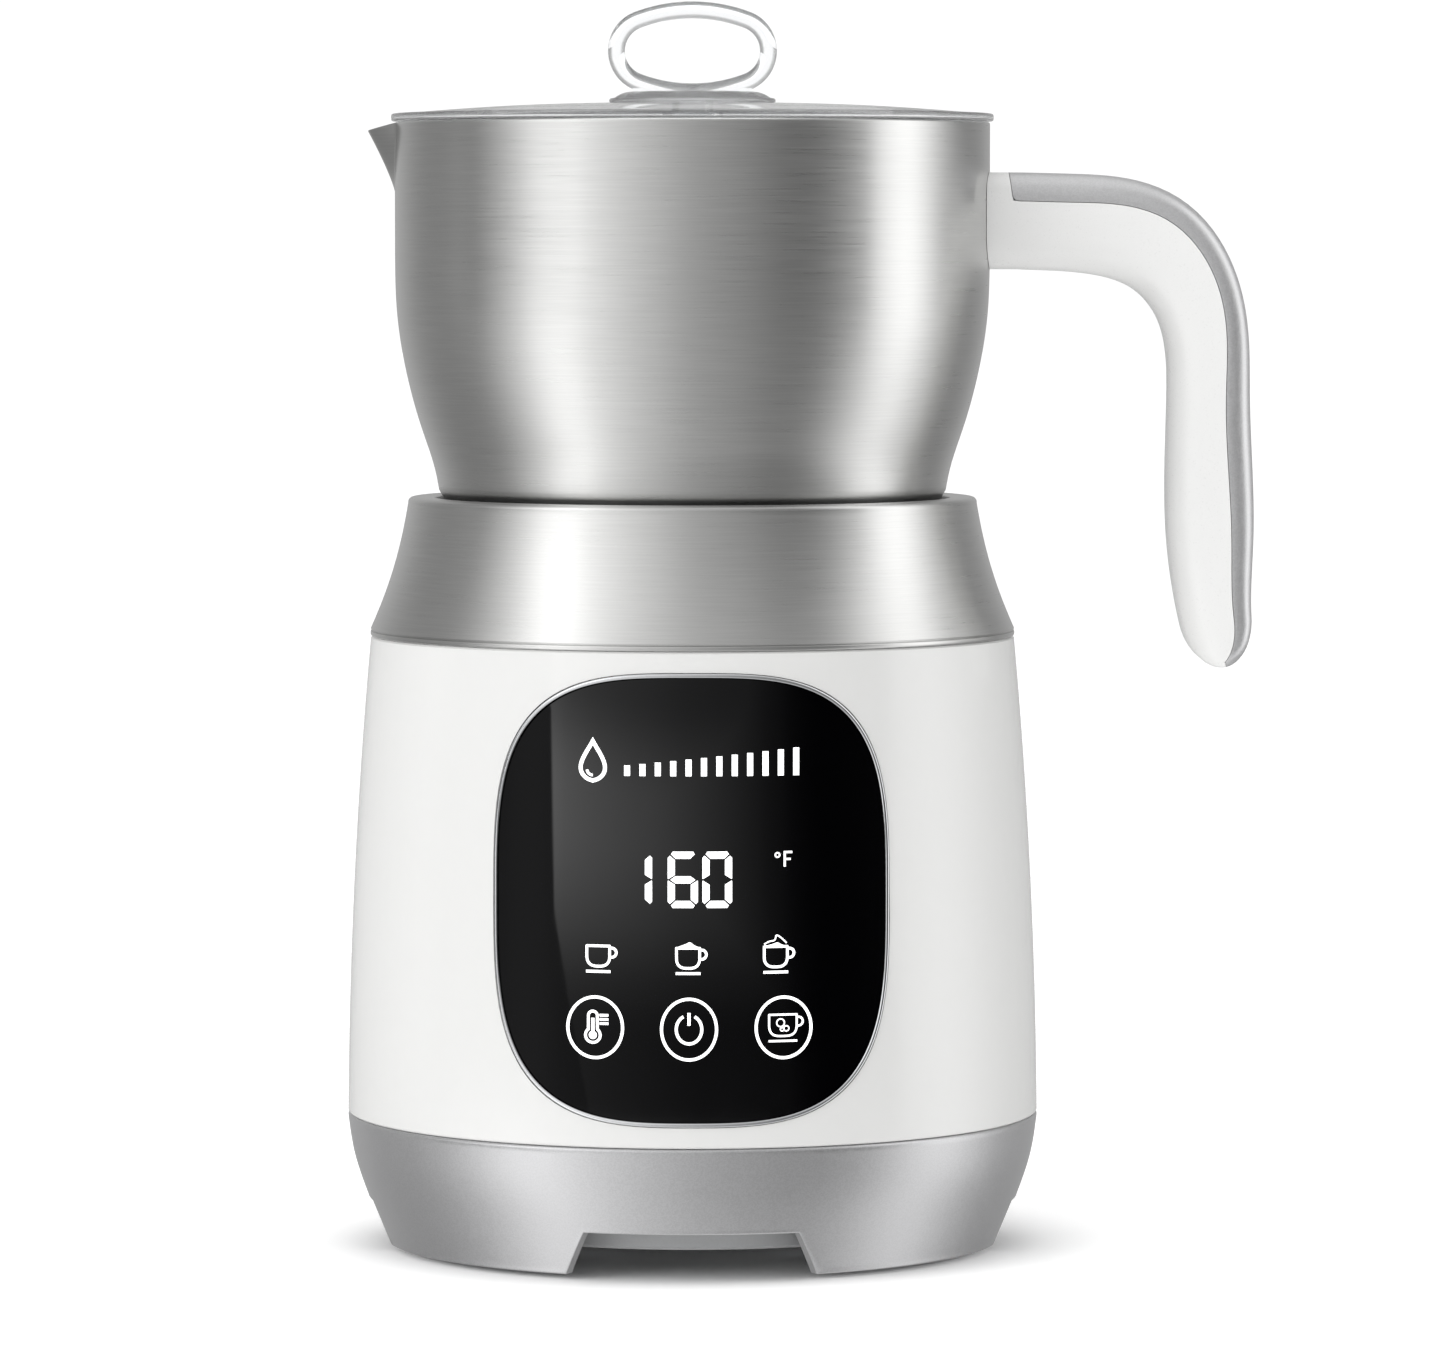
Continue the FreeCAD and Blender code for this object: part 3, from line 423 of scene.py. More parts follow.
def black_panel_glass():
    # Float glass bent to the body's curve and printed black on its back: a hard, clear reflection
    # over a black that has no texture of its own but a very slight waviness from the bending.
    return finish("back_printed_black_glass", 0x010102, 0.04, grain=9.0, spread=0.10,
                  rough_spread=0.01, bump=0.0008, cloud=30, cloud_spread=0.1, ior=1.53)


def bright_trim():
    # Chromium-plated ABS: a thin mirror-bright line with the trace of the tool's polish.
    return finish("chromium_plated_trim", 0xD6D7D9, 0.16, grain=0.8, spread=0.02, rough_spread=0.03,
                  bump=0.0006, metallic=1.0)


def clear_acrylic(name="clear_moulded_acrylic", cover=0.85):
    # Injection-moulded PMMA: water clear, with the softest flow waves in the polished faces. The
    # cover is the share of the light that it bends; the rest goes straight through.
    return finish(name, 0xFBFCFD, 0.015, grain=6.0, spread=0.004, rough_spread=0.01, bump=0.0015,
                  cloud=40, cloud_spread=0.01, transmission_weight=1.0, alpha=cover, ior=1.49)


def clear_lid_acrylic():
    # The same PMMA in the lid's thin plate, which bends little of what is seen through it.
    return clear_acrylic("clear_lid_acrylic", 0.8)


WHITE = (1.0, 1.0, 1.0, 1.0)


def lit_white():
    # Icon film and numeral windows lit from behind by white light-emitting diodes: an even glow
    # that is a little uneven where the light guides meet the film.
    return finish("backlit_white_film", 0xFAFBFC, 0.35, grain=1.2, spread=0.02, rough_spread=0.04,
                  emission_color=WHITE, emission_strength=colours().glow)


# Finishes of the parts inside: slot, name, colour, roughness, grain in mm, colour spread, bump in
# mm, and what else differs. Each comment says what the part is and what that gives the eye.
INSIDE = {
    # Glass-filled PA, etched tool: a dull grey with a fine spark-eroded grain.
    "grey_plastic": ("moulded_grey_polyamide", 0xB9BABB, 0.55, 0.5, 0.03, 0.006, {}),
    # Glass-filled PBT, heat proof: near black, with the glass fibres' faint streaks.
    "black_plastic": ("moulded_black_pbt", 0x17181A, 0.42, 0.6, 0.15, 0.004,
                      dict(stretch=(3, 1, 1), rough_spread=0.06)),
    # Pressed rubber: matt, dark, a little dusty.
    "black_rubber": ("pressed_black_rubber", 0x1C1C1D, 0.78, 0.7, 0.12, 0.01, {}),
    # Translucent silicone, cast: milky, with a soft dull surface.
    "silicone": ("cast_silicone", 0xD9DCDD, 0.42, 1.5, 0.02, 0.003, dict(transmission_weight=0.35)),
    # Zinc-plated steel screws: bluish white, crystalline plating.
    "screw_steel": ("zinc_plated_screws", 0xC3C7CC, 0.30, 0.4, 0.08, 0.003,
                    dict(rough_spread=0.08, metallic=1.0)),
    # Rolled and zinc-plated sheet: the rolling lines show along one way.
    "plated_steel": ("rolled_plated_sheet", 0xBFC2C6, 0.34, 0.5, 0.07, 0.003,
                     dict(stretch=(20, 1, 20), rough_spread=0.06, metallic=1.0)),
    # Glass-epoxy board under solder mask: the woven cloth shows as a fine cell under the green.
    "circuit_board": ("solder_masked_board", 0x1F5A38, 0.33, 0.6, 0.12, 0.004,
                      dict(pattern="CELLS", coat_weight=0.3)),
    # Filled white PC of the numeral block: even and matt so that it mixes the light.
    "display_block": ("moulded_white_polycarbonate", 0xE6E6E2, 0.5, 0.5, 0.02, 0.002, {}),
    # Stranded enamelled copper: thin turns that catch the light round the coil.
    "copper_wire": ("enamelled_copper_litz", 0xB8693A, 0.32, 0.35, 0.18, 0.02,
                    dict(stretch=(8, 8, 1), rough_spread=0.08, metallic=1.0)),
    # Sintered and ground ferrite: charcoal, slightly glittering grains.
    "ferrite": ("sintered_ferrite", 0x3A3B3D, 0.48, 0.3, 0.15, 0.004,
                dict(rough_spread=0.1, pattern="CELLS", metallic=0.3)),
    # Extruded aluminium, bead-blasted: soft light grey with a fine grit.
    "aluminium": ("blasted_aluminium", 0xC9CBCD, 0.42, 0.3, 0.05, 0.004,
                  dict(rough_spread=0.06, metallic=1.0)),
    # Sintered bronze, oil filled: brown-gold and porous.
    "bronze": ("sintered_bronze", 0x9A6F3C, 0.45, 0.3, 0.15, 0.006,
               dict(pattern="CELLS", metallic=1.0)),
    # Nickel-plated magnet: bright with softened edges.
    "magnet": ("nickel_plated_magnet", 0xC9C6BF, 0.18, 0.6, 0.04, 0.001, dict(metallic=1.0)),
    # Shrunk vinyl sleeve: smooth dark blue with stretch marks.
    "capacitor_sleeve": ("shrunk_vinyl_sleeve", 0x1C2A4A, 0.28, 1.5, 0.1, 0.003,
                         dict(stretch=(1, 1, 5))),
    # Turned stainless wire and small parts: fine rings left by the tool.
    "brushed_steel": ("turned_stainless", 0xC8C8C6, 0.26, 0.4, 0.05, 0.002,
                      dict(stretch=(20, 20, 1), metallic=1.0)),
}


def inside_finish(slot):
    name, colour, roughness, grain, spread, bump, details = INSIDE[slot]
    return finish(name, colour, roughness, grain=grain, spread=spread, bump=bump, **details)


def coat(node, material):
    """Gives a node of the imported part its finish."""
    slots = frame["nodes"][node].data.materials
    if len(slots) == 0:
        slots.append(material)
    for i in range(len(slots)):
        slots[i] = material


# ---------------------------------------------------------------- the moulded base

SHELL_FOOT = 26.9              # height of the body's lower edge
SHELL_SLOPE = 0.0083           # what its radius loses for each mm of height there
SHELL_BEND = 0.000442          # and for each square mm


def shell_radius(z):
    """The body's outer radius: it loses a little with height, and more with height squared."""
    rise = z - SHELL_FOOT
    return 69.1 - SHELL_SLOPE * rise - SHELL_BEND * rise ** 2


SKIRT_OUTER_TOP = 26.2         # height where the ring's outer wall turns in
SKIRT_INNER_TOP = 16.4         # and where its inner wall ends
SKIRT_EASE = 0.5               # quarter round of its lower edge
SKIRT_FOOT_RADIUS = 63.5       # where the notches' widths are measured
FRONT_NOTCH = (20.4, 25.1)     # half widths of a notch at its top and at its foot
SIDE_NOTCH = (13.0, 15.2)
NOTCH_HEIGHTS = (1.0, 9.7)     # heights of the ring's edge outside and inside a notch


def skirt_outline(low):
    """The lower ring's wall, from its top inside, down and round its lower edge, and up outside.

    low is the height of the lower edge at each angle; the result has one row for each point of
    the wall and one column for each angle. The edge is eased by a quarter round.
    """
    outer = curve([(61.5, 0.8), (65.3, 10.6), (68.0, 19.0), (69.1, SKIRT_OUTER_TOP)], 80)
    inner = curve([(58.6, 0.8), (61.9, 10.0), (63.6, 15.0), (64.4, 17.4)], 80)
    up = np.linspace(0, 1, 26)[:, None]
    low = low[None, :]
    start = low + SKIRT_EASE
    turn = np.linspace(0, math.pi / 2, 5)[:, None]
    z_out = start + (SKIRT_OUTER_TOP - start) * up
    r_out = np.interp(z_out, outer[:, 1], outer[:, 0])
    z_edge = start - SKIRT_EASE * np.sin(turn)
    r_edge = np.interp(start, outer[:, 1], outer[:, 0]) - SKIRT_EASE * (1 - np.cos(turn))
    z_in = low + (SKIRT_INNER_TOP - low) * up[::-1]
    r_in = np.interp(z_in, inner[:, 1], inner[:, 0])
    top = np.array([(68.95, 26.55), (68.6, 26.8), (66.3, 26.8), (66.3, 30.5), (64.6, 30.5),
                    (64.6, 18.0)])
    r_top, z_top = (top[:, i:i + 1] * np.ones_like(low) for i in (0, 1))
    return (np.concatenate([r_in, r_edge[::-1], r_out, r_top]),
            np.concatenate([z_in, z_edge[::-1], z_out, z_top]))


def notch_height(across, widths):
    """Height of the lower edge across a notch: level inside the top width, then a straight slope."""
    top, foot = widths
    low, high = NOTCH_HEIGHTS
    return low + (high - low) * np.clip((foot - np.abs(across)) / (foot - top), 0, 1)


def skirt_angles(half_widths):
    """Angles from the middle of a notch to an eighth of a turn, close together on its slopes."""
    top, foot = [math.asin(width / SKIRT_FOOT_RADIUS) for width in half_widths]
    level = np.linspace(0, top, 14)
    slope = np.linspace(top, foot, 9)[1:]
    rest = np.linspace(foot, math.pi / 4, 14)[1:]
    half = np.concatenate([level, slope, rest])
    return np.concatenate([-half[:0:-1], half])


def lower_ring():
    """The silver lower ring: one wall carried round Z, its lower edge raised over four notches."""
    angles, lows = [], []
    for turn, widths in ((0, SIDE_NOTCH), (1, FRONT_NOTCH), (2, SIDE_NOTCH), (3, FRONT_NOTCH)):
        local = skirt_angles(widths)[:-1]
        angles.append(local + turn * math.pi / 2)
        lows.append(notch_height(SKIRT_FOOT_RADIUS * np.sin(local), widths))
    r, z = skirt_outline(np.concatenate(lows))
    ring = round_z(r, z, np.concatenate(angles)[None, :])
    piece("lower_ring", [(ring, True, True)], silver_lacquer(), "base",
          ["base_skirt"], crease=50)


def steel_collar():
    """The drawn collar: a hem, a hollow flare and a turned-in rim, carried once round Z."""
    outer = curve([(64.35, 123.6), (62.1, 129.0), (59.4, 137.0), (57.5, 145.0), (56.85, 148.6)], 40)
    inner = outer[::-1] - (0.95, 0.25)
    hem = rounded([(60.0, 122.15), (64.4, 122.15), (64.4, 123.2)], [0, 0.6, 0.3])[5:]
    rim = oval(55.85, 148.8, 1.0, 1.0, 0, 90, 8)
    seat = rounded([(52.3, 149.8), (51.5, 149.8), (51.5, 147.3), (52.3, 147.3), (52.3, 148.9),
                    (54.0, 148.9)], [0.0, 0.8, 0.15, 0.1, 0.1, 0.0])[5:-5]
    outline = np.concatenate([[(60.0, 122.15)], hem, outer, rim, [(53.0, 149.8)], seat,
                              [(55.3, 148.9)], inner, [(60.0, 123.0)]])
    piece("steel_collar", [(turned(outline, 256), True, True)], brushed_stainless(), "base",
          ["base_collar"], crease=40)


# ---------------------------------------------------------------- touch panel

def on_body(x, z, radius):
    """Points on the body's front, given across and up, at their distance from the axis."""
    return points(x, -np.sqrt(radius ** 2 - x ** 2), z)


PANEL_POWER = 3.3              # how square the panel's outline is: 2 would be an ellipse
RING_INSET = 0.45              # from the ring's outer edge to its middle line
RING_HALF = 0.44               # half the ring's width
RING_PROUD = 0.43              # how far it stands out of the body
RING_DEPTH = 2.9               # how deep it goes in


def panel_ring():
    """The bright ring round the glass: a rounded section carried along |x/a|^n + |z/b|^n = 1.

    At each point of the outline the section stands on the body's curve, across the line and
    outwards from the body.
    """
    a = full_turn(288)
    x, z = (np.sign(wave) * np.abs(wave) ** (2 / PANEL_POWER) for wave in (np.cos(a), np.sin(a)))
    x = (BEZEL_HIGH[0] - RING_INSET) * x
    z = PANEL_MIDDLE + ((BEZEL_HIGH[2] - BEZEL_LOW[2]) / 2 - RING_INSET) * z
    r = shell_radius(z)
    path = on_body(x, z, r)
    slope = SHELL_SLOPE + 2 * SHELL_BEND * (z - SHELL_FOOT)
    out = unit(points(x / r, path[:, 1] / r, slope))
    side = unit(np.cross(direction(path, True), out))
    turn = np.linspace(0, math.pi, 9)
    across = np.concatenate([RING_HALF * np.cos(turn), [-RING_HALF, RING_HALF]])
    proud = np.concatenate([RING_PROUD * np.sin(turn) ** 0.8, [-RING_DEPTH, -RING_DEPTH]])
    ring = section_rings(path, side, out, across, proud)
    piece("panel_ring", [(ring, True, True)], bright_trim(), "base",
          ["panel_bezel"], crease=50)


GLASS_PROUD = 0.15             # how far the glass stands out of the body
FILM_LEVELS = (0.05, -0.06)    # the films' front and back, measured from the glass


def film(left, right, closed=False):
    """A thin closed film on the glass between two lines of points: its section is four corners,
    two in front and two behind, carried along the lines."""
    corners = []
    for proud, sides in zip(FILM_LEVELS, ((left, right), (right, left))):
        for side in sides:
            x, z = np.asarray(side, float).T
            corners.append(on_body(x, z, shell_radius(z) + GLASS_PROUD + proud))
    grid = np.stack(corners, axis=1)
    return (grid if closed else capped(grid), closed, True)


def line(path, width, closed=False):
    """A line of even width: each point is moved half the width to both sides, square to the
    line's direction there, and further at a corner so that the width holds."""
    p = np.asarray(path, float)
    if closed:
        before, after = p - np.roll(p, 1, axis=0), np.roll(p, -1, axis=0) - p
    else:
        step = np.diff(p, axis=0)
        before, after = np.concatenate([step[:1], step]), np.concatenate([step, step[-1:]])
    before, after = unit(before), unit(after)
    square = unit(points(-(before + after)[:, 1], (before + after)[:, 0]))
    lean = np.clip((square * points(-after[:, 1], after[:, 0])).sum(axis=1), 0.5, 1)
    move = square * (width / 2 / lean)[:, None]
    return film(p - move, p + move, closed)


def divided(*path, most=1.0):
    """The line with points added so that none of its runs is longer than the given length."""
    p = np.asarray(path, float)
    t = np.concatenate([[0.0], np.cumsum(np.linalg.norm(np.diff(p, axis=0), axis=1))])
    s = np.union1d(np.linspace(0, t[-1], int(t[-1] / most) + 2), t)
    return points(np.interp(s, t, p[:, 0]), np.interp(s, t, p[:, 1]))


def blob(x, z, half_width, half_height):
    """A filled ellipse: its upper and its lower half are the film's two lines."""
    return film(oval(x, z, half_width, -half_height, 0, 180, 17)[::-1],
                oval(x, z, half_width, half_height, 0, 180, 17)[::-1])


SEGMENT = 1.38                 # width of a numeral's bars
NUMERAL_HALF = 5.4             # half a numeral's height
NUMERAL_MIDDLE = 78.6          # and the height of its middle


def matched(path, parts=3):
    """The line with every run divided into the same number of equal parts."""
    p = np.asarray(path, float)
    share = np.linspace(0, 1, parts, endpoint=False)[None, :, None]
    inside = (p[:-1, None] * (1 - share) + p[1:, None] * share).reshape(-1, 2)
    return np.concatenate([inside, p[-1:]])


def numeral(x, width, lit):
    """A seven-segment numeral: a, b, c, d, e, f go clockwise from the top, g is the middle bar.

    A bar is its outer and its inner edge, both from tip to tip, measured from the numeral's
    middle. The others mirror the top one and the one at the upper left.
    """
    w, h, t = width / 2, NUMERAL_HALF, SEGMENT
    top = (((0.62 - w, h - 0.5), (0.95 - w, h), (w - 0.95, h), (w - 0.62, h - 0.5)),
           ((0.62 - w, h - 0.5), (t + 0.14 - w, h - t), (w - t - 0.14, h - t), (w - 0.62, h - 0.5)))
    side = (((0.4 - w, h - 0.78), (-w, h - 1.2), (-w, 0.24), (0.1 - w, 0.14)),
            ((0.4 - w, h - 0.78), (t - w, h - t - 0.24), (t - w, t / 2 + 0.24), (0.1 - w, 0.14)))
    middle = [((0.5 - w, 0), (t + 0.05 - w, level), (w - t - 0.05, level), (w - 0.5, 0))
              for level in (t / 2, -t / 2)]
    bars = {"a": (top, 1, 1), "b": (side, -1, 1), "c": (side, -1, -1), "d": (top, 1, -1),
            "e": (side, 1, -1), "f": (side, 1, 1), "g": (middle, 1, 1)}
    films = []
    for name in lit:
        edges, across, up = bars[name]
        films.append(film(*(matched(np.multiply(edge, (across, up)) + (x + w, NUMERAL_MIDDLE))
                            for edge in edges)))
    return films


def cup(x, z, width, height, handle, weight):
    """A cup seen from the side: a flat rim, straight sides that round into a narrower foot,
    a ring handle on the right and a saucer line below."""
    left, right = x + weight / 2, x + width - weight / 2
    low, high = z + weight / 2, z + height - weight / 2
    body = rounded([(left, high), (left, low), (right, low), (right, high)],
                   [0.05, width * 0.42, width * 0.42, 0.05], 12)
    ring = handle * 0.85
    ear = oval(x + width + handle * 0.12, z + height * 0.66, ring, ring, -95, 120, 20)
    saucer = divided((x + 0.1, z - 0.75), (x + width - 0.1, z - 0.75))
    return [line(body, weight, closed=True), line(ear, weight), line(saucer, weight * 1.05)]


def foam(x, z, width, height):
    """A filled mound on a cup's rim: its height swells from both sides to a soft peak."""
    s = np.linspace(0, 1, 24)
    swell = np.sin(math.pi * s)
    peak = swell ** 1.3 * 0.62 + 0.38 * np.exp(-((s - 0.58) / 0.13) ** 2) * swell
    return film(points(x + width * s, z), points(x + width * s, z + height * peak + 0.02))


def thermometer(x, z):
    """An upright tube with a bulb: the outline is a wide arc below and a narrow arc on top."""
    bulb = z - 1.6
    outline = np.concatenate([oval(x, bulb, 1.42, 1.42, 128, 412, 30),
                              oval(x, z + 2.15, 0.86, 0.86, 0, 180, 12)])
    scale = [line([(x + 1.3, z + h), (x + 3.0, z + h)], 0.5) for h in (2.25, 1.45, 0.65)]
    return [line(outline, 0.52, closed=True), line(divided((x, bulb), (x, z + 1.7)), 0.62),
            blob(x, bulb, 0.78, 0.78)] + scale


def power_sign(x, z):
    """A ring open at the top, with an upright stroke in the gap."""
    return [line(oval(x, z, 2.45, 2.75, 116, 424, 40), 0.58),
            line(divided((x, z + 0.75), (x, z + 3.2)), 0.58)]


def drop_mark(x, z):
    """A plain drop: round below, drawn out to a point above. Its half width is the sine of the
    share of its height, leaned towards the foot."""
    s = np.linspace(0, 1, 28)
    half = 2.35 * np.sin(math.pi * s ** 0.62) ** 1.05
    height = z - 3.6 + 7.6 * s
    outer = np.concatenate([points(x - half, height), points(x + half, height)[-2:0:-1]])
    return [line(outer, 0.75, closed=True), line(oval(x, z - 1.3, 1.15, 1.25, 190, 270, 10), 0.5)]


def level_marks(x, z, count=12, pitch=2.95, least=2.0, growth=0.30):
    """A row of upright ticks on one foot line, each a little taller than the one before."""
    foot = z - 2.6
    return [line(divided((x + pitch * i, foot), (x + pitch * i, foot + least + growth * i)), 1.15)
            for i in range(count)]


# Where things stand on the glass, across and up in mm: left edge, width and lit bars of each
# numeral; left edge, foot, width, height and ear of each cup with the foam on it; the crest of
# the tallest foam; the middles and half widths of the round keys; the bubbles in the last key.
NUMERALS = ((-13.3, 5.8, "bc"), (-4.5, 5.8, "acdefg"), (2.15, 5.7, "abcdef"))
CUPS = (((-20.3, 61.6, 4.9, 4.4, 1.05), None),
        ((-3.07, 61.4, 4.95, 4.35, 1.05), (-3.0, 65.6, 4.8, 1.05)),
        ((13.75, 61.5, 4.95, 4.4, 1.05), (13.9, 65.7, 4.6, 0.75)))
CREST = ((14.0, 66.1), (15.2, 66.7), (16.1, 67.0), (16.3, 67.75), (17.4, 67.2), (18.3, 66.3))
KEYS = ((-18.45, 50.1), (-0.42, 49.9), (17.73, 50.1))
KEY_HALF = (5.28, 5.83)
BUBBLES = ((17.15, 51.0, 0.75), (18.25, 49.9, 0.5), (17.45, 49.75, 0.34))


def panel_print():
    """The lit numerals, cups and keys, and a plain drop with level marks above them."""
    thin = sizes().print_line / MM
    numerals = [bar for place in NUMERALS for bar in numeral(*place)]
    numerals += [line(oval(16.55, 83.2, 0.42, 0.42, count=20), 0.3, closed=True),
                 line(divided((17.95, 80.95), (17.95, 83.72), (19.4, 83.72)), 0.42),
                 line(divided((18.0, 82.4), (19.1, 82.4)), 0.4)]
    cups = []
    for body, mound in CUPS:
        cups += cup(*body, thin) + ([foam(*mound)] if mound else [])
    cups.append(line(curve(CREST, 24), 0.28))
    keys = [line(oval(x, z, *KEY_HALF, count=72), 0.58, closed=True) for x, z in KEYS]
    keys += thermometer(-18.9, 50.2) + power_sign(*KEYS[1])
    keys += cup(14.75, 48.25, 5.7, 4.5, 1.0, thin * 0.78)
    keys += [line(oval(x, z, r, r, count=20), 0.24, closed=True) for x, z, r in BUBBLES]
    mark = drop_mark(-18.9, 101.0) + level_marks(-12.3, 101.0)
    for name, films in (("lit_numerals", numerals), ("cup_icons", cups), ("key_icons", keys),
                        ("panel_mark", mark)):
        piece(name, films, lit_white(), "base", crease=60)


# ---------------------------------------------------------------- jug

SPOUT_LOW = 210.4              # height where the spout starts
SPOUT_START = math.radians(1.0)        # its half angle there
SPOUT_NOSE = 0.13              # roundness of its crease, as a share of its half angle
SPOUT_DROP = 1.5               # how far it lowers the rim
WAIST_TOP = 198.0              # where the jug's straight wall starts
RIM_HALF = 0.4                 # half height of the rolled rim


def spout(angle, height):
    """How far the wall is pressed out at an angle and a height, and how far the rim is lowered.

    The push grows with height as a power of 1.22, over a half angle that widens up to the
    spout's own. Across it the push falls off in a straight line on both sides of a crease whose
    nose is slightly rounded.
    """
    rise = np.clip((height - SPOUT_LOW) / (JUG_RIM - SPOUT_LOW), 0, 1)
    half = SPOUT_START + (sizes().spout_angle - SPOUT_START) * rise
    off = (math.pi - np.abs((angle + math.pi) % (2 * math.pi) - math.pi)) / half
    fall = np.hypot(off, SPOUT_NOSE) - SPOUT_NOSE
    share = np.clip(1 - fall / (math.hypot(1, SPOUT_NOSE) - SPOUT_NOSE), 0, 1)
    return SPOUT_REACH * rise ** 1.22 * share, SPOUT_DROP * rise * share


def steel_jug():
    """The jug: an outline of foot, waisted wall, rim and inside carried round Z, then pressed out
    at the spout. The columns stand close together there."""
    radius = sizes().jug_radius / MM
    wall = sizes().jug_wall / MM
    inner = radius - wall
    lower = curve([(50.65, 151.2), (51.4, 155.0), (54.0, 163.2), (57.2, 175.0), (59.0, 187.0),
                   (radius, WAIST_TOP)], 48)
    lining = curve([(inner, WAIST_TOP), (58.15, 187.0), (56.35, 175.3), (53.2, 163.5),
                    (50.55, 155.2), (49.8, 151.6)], 40)
    roll = JUG_RIM - RIM_HALF
    upper = np.concatenate([np.linspace(WAIST_TOP + 1, SPOUT_LOW, 10),
                            np.linspace(SPOUT_LOW, roll, 26)[1:]])
    rim = oval(radius - wall / 2, roll, wall / 2, RIM_HALF, 0, 180, 9)[1:-1]
    foot = rounded([(0, 148.2), (47.0, 148.2), (47.4, 147.07), (48.4, 147.07), (49.7, 149.6),
                    (50.65, 151.2)], [0, 0.1, 0.3, 0.3, 0.9, 0], 6)[6:-6]
    basin = rounded([(49.8, 151.6), (49.2, 149.0), (0, 149.0)], [0, 2.2, 0], 8)[8:-8]
    outline = np.concatenate([[(0, 148.2), (24, 148.2)], foot, lower, points(radius, upper), rim,
                              points(inner, upper[::-1]), lining, basin, [(24, 149.0), (0, 149.0)]])
    near = np.linspace(-1, 1, 81) * math.radians(10.5) + math.pi
    around = np.linspace(math.radians(190.5), math.radians(529.5), 216)[1:-1]
    angles = np.concatenate([near, around])[None, :] % (2 * math.pi)
    r, z = outline[:, :1], outline[:, 1:]
    push, drop = spout(angles, z)
    pressed = (r > inner - 1) & (z > SPOUT_LOW)
    grid = round_z(r + np.where(pressed, push, 0), z - np.where(pressed, drop, 0), angles)
    piece("steel_jug", [(grid, False, True)], brushed_stainless(), "jug",
          ["jug_pot"], crease=32)


# ---------------------------------------------------------------- handle

# The handle's line from the jug to its end: across, up, half thickness, and how far the seam
# lies below the outer face.
HANDLE_LINE = [(66.0, 204.75, 9.65, 5.75), (75.8, 204.4, 9.75, 5.75), (91.95, 200.55, 10.0, 5.1),
               (100.55, 189.5, 8.73, 4.5), (102.95, 169.5, 8.05, 5.1), (103.35, 142.0, 8.45, 4.7),
               (104.55, 125.0, 6.95, 3.8), (106.4, 115.95, 6.3, 3.2)]
ROOT_X = 59.4                  # inside the jug's wall, where the straight root starts
SEAM_X = 63.55                 # where the silver back begins
ROOT_SECTION = (204.8, 9.62, 5.75)     # the root's height, half thickness and seam depth
ROOT_ROWS = 6                  # rows of the section between the jug and the silver back
STEP_ROWS = 10                 # and as far as the end of the back's rounded first corner
ROOT_LEAN = 0.13               # how far the root leans back for each mm above the seam
END_ROUND = 9.3                # length over which the end closes
CORNER = 4.5                   # radius of the bar's outer corners, and of its end across the hand
UNDER_CORNER = 7.0             # radius of the corners that the fingers hold
SEAM_GAP = 0.12                # between the silver back and the grip
UNCUT = 99.0                   # a height above the seam that the section never reaches


def quarter_close(share):
    """A quarter ellipse that falls to nothing as the share that is left does."""
    return np.sqrt(np.clip(1 - (1 - np.clip(share, 0, 1)) ** 2, 0, 1))


def handle_sections():
    """The handle's centre line, its outward direction, half thickness, half width and seam depth."""
    flat = points(ROOT_X + (SEAM_X - ROOT_X) * np.linspace(0, 1, ROOT_ROWS), *ROOT_SECTION)
    turn = np.linspace(0, math.pi / 2, STEP_ROWS - ROOT_ROWS)
    corner = points(SEAM_X + 1.0 - np.cos(turn), *ROOT_SECTION)
    ease = np.linspace(0, math.pi / 2, 14)
    path = np.asarray(HANDLE_LINE)
    length = np.linalg.norm(np.diff(path, axis=0), axis=1).sum()
    left = np.concatenate([np.linspace(length, END_ROUND, 70)[:-1], END_ROUND * (1 - np.sin(ease))])
    run = smooth(path, 1 - left / length)
    run[:, 2] *= quarter_close(left / END_ROUND)
    rows = np.concatenate([flat, corner, run])
    width = np.full(len(rows), sizes().handle_half / MM)
    width[-len(run):] -= CORNER * (1 - quarter_close(left / CORNER))
    lift = np.concatenate([np.full(ROOT_ROWS, UNCUT), 1 - np.sin(turn), np.zeros(len(run))])
    along = unit(np.gradient(rows[:, :2], axis=0))
    return rows, points(-along[:, 1], along[:, 0]), width, lift


def half_outline(width, depth, radius, seam):
    """Half of a bar's section: from the seam's right end up the side, round both outer corners
    and down to the seam's left end, with five points on the flat between them."""
    a = np.linspace(0, math.pi / 2, 8)[None, :]
    y = (width - radius) + radius * np.cos(a)
    n = (depth - radius) + radius * np.sin(a)
    flat = y[:, -1:] * np.linspace(1, -1, 7)[None, 1:-1]
    level = np.repeat(depth, 5, axis=1)
    side = np.repeat(width, 2, axis=1)
    foot = np.concatenate([seam, (seam + n[:, :1]) / 2], axis=1)
    return (np.concatenate([side, y, flat, -y[:, ::-1], -side[:, ::-1]], axis=1),
            np.concatenate([foot, n, level, n[:, ::-1], foot[:, ::-1]], axis=1))


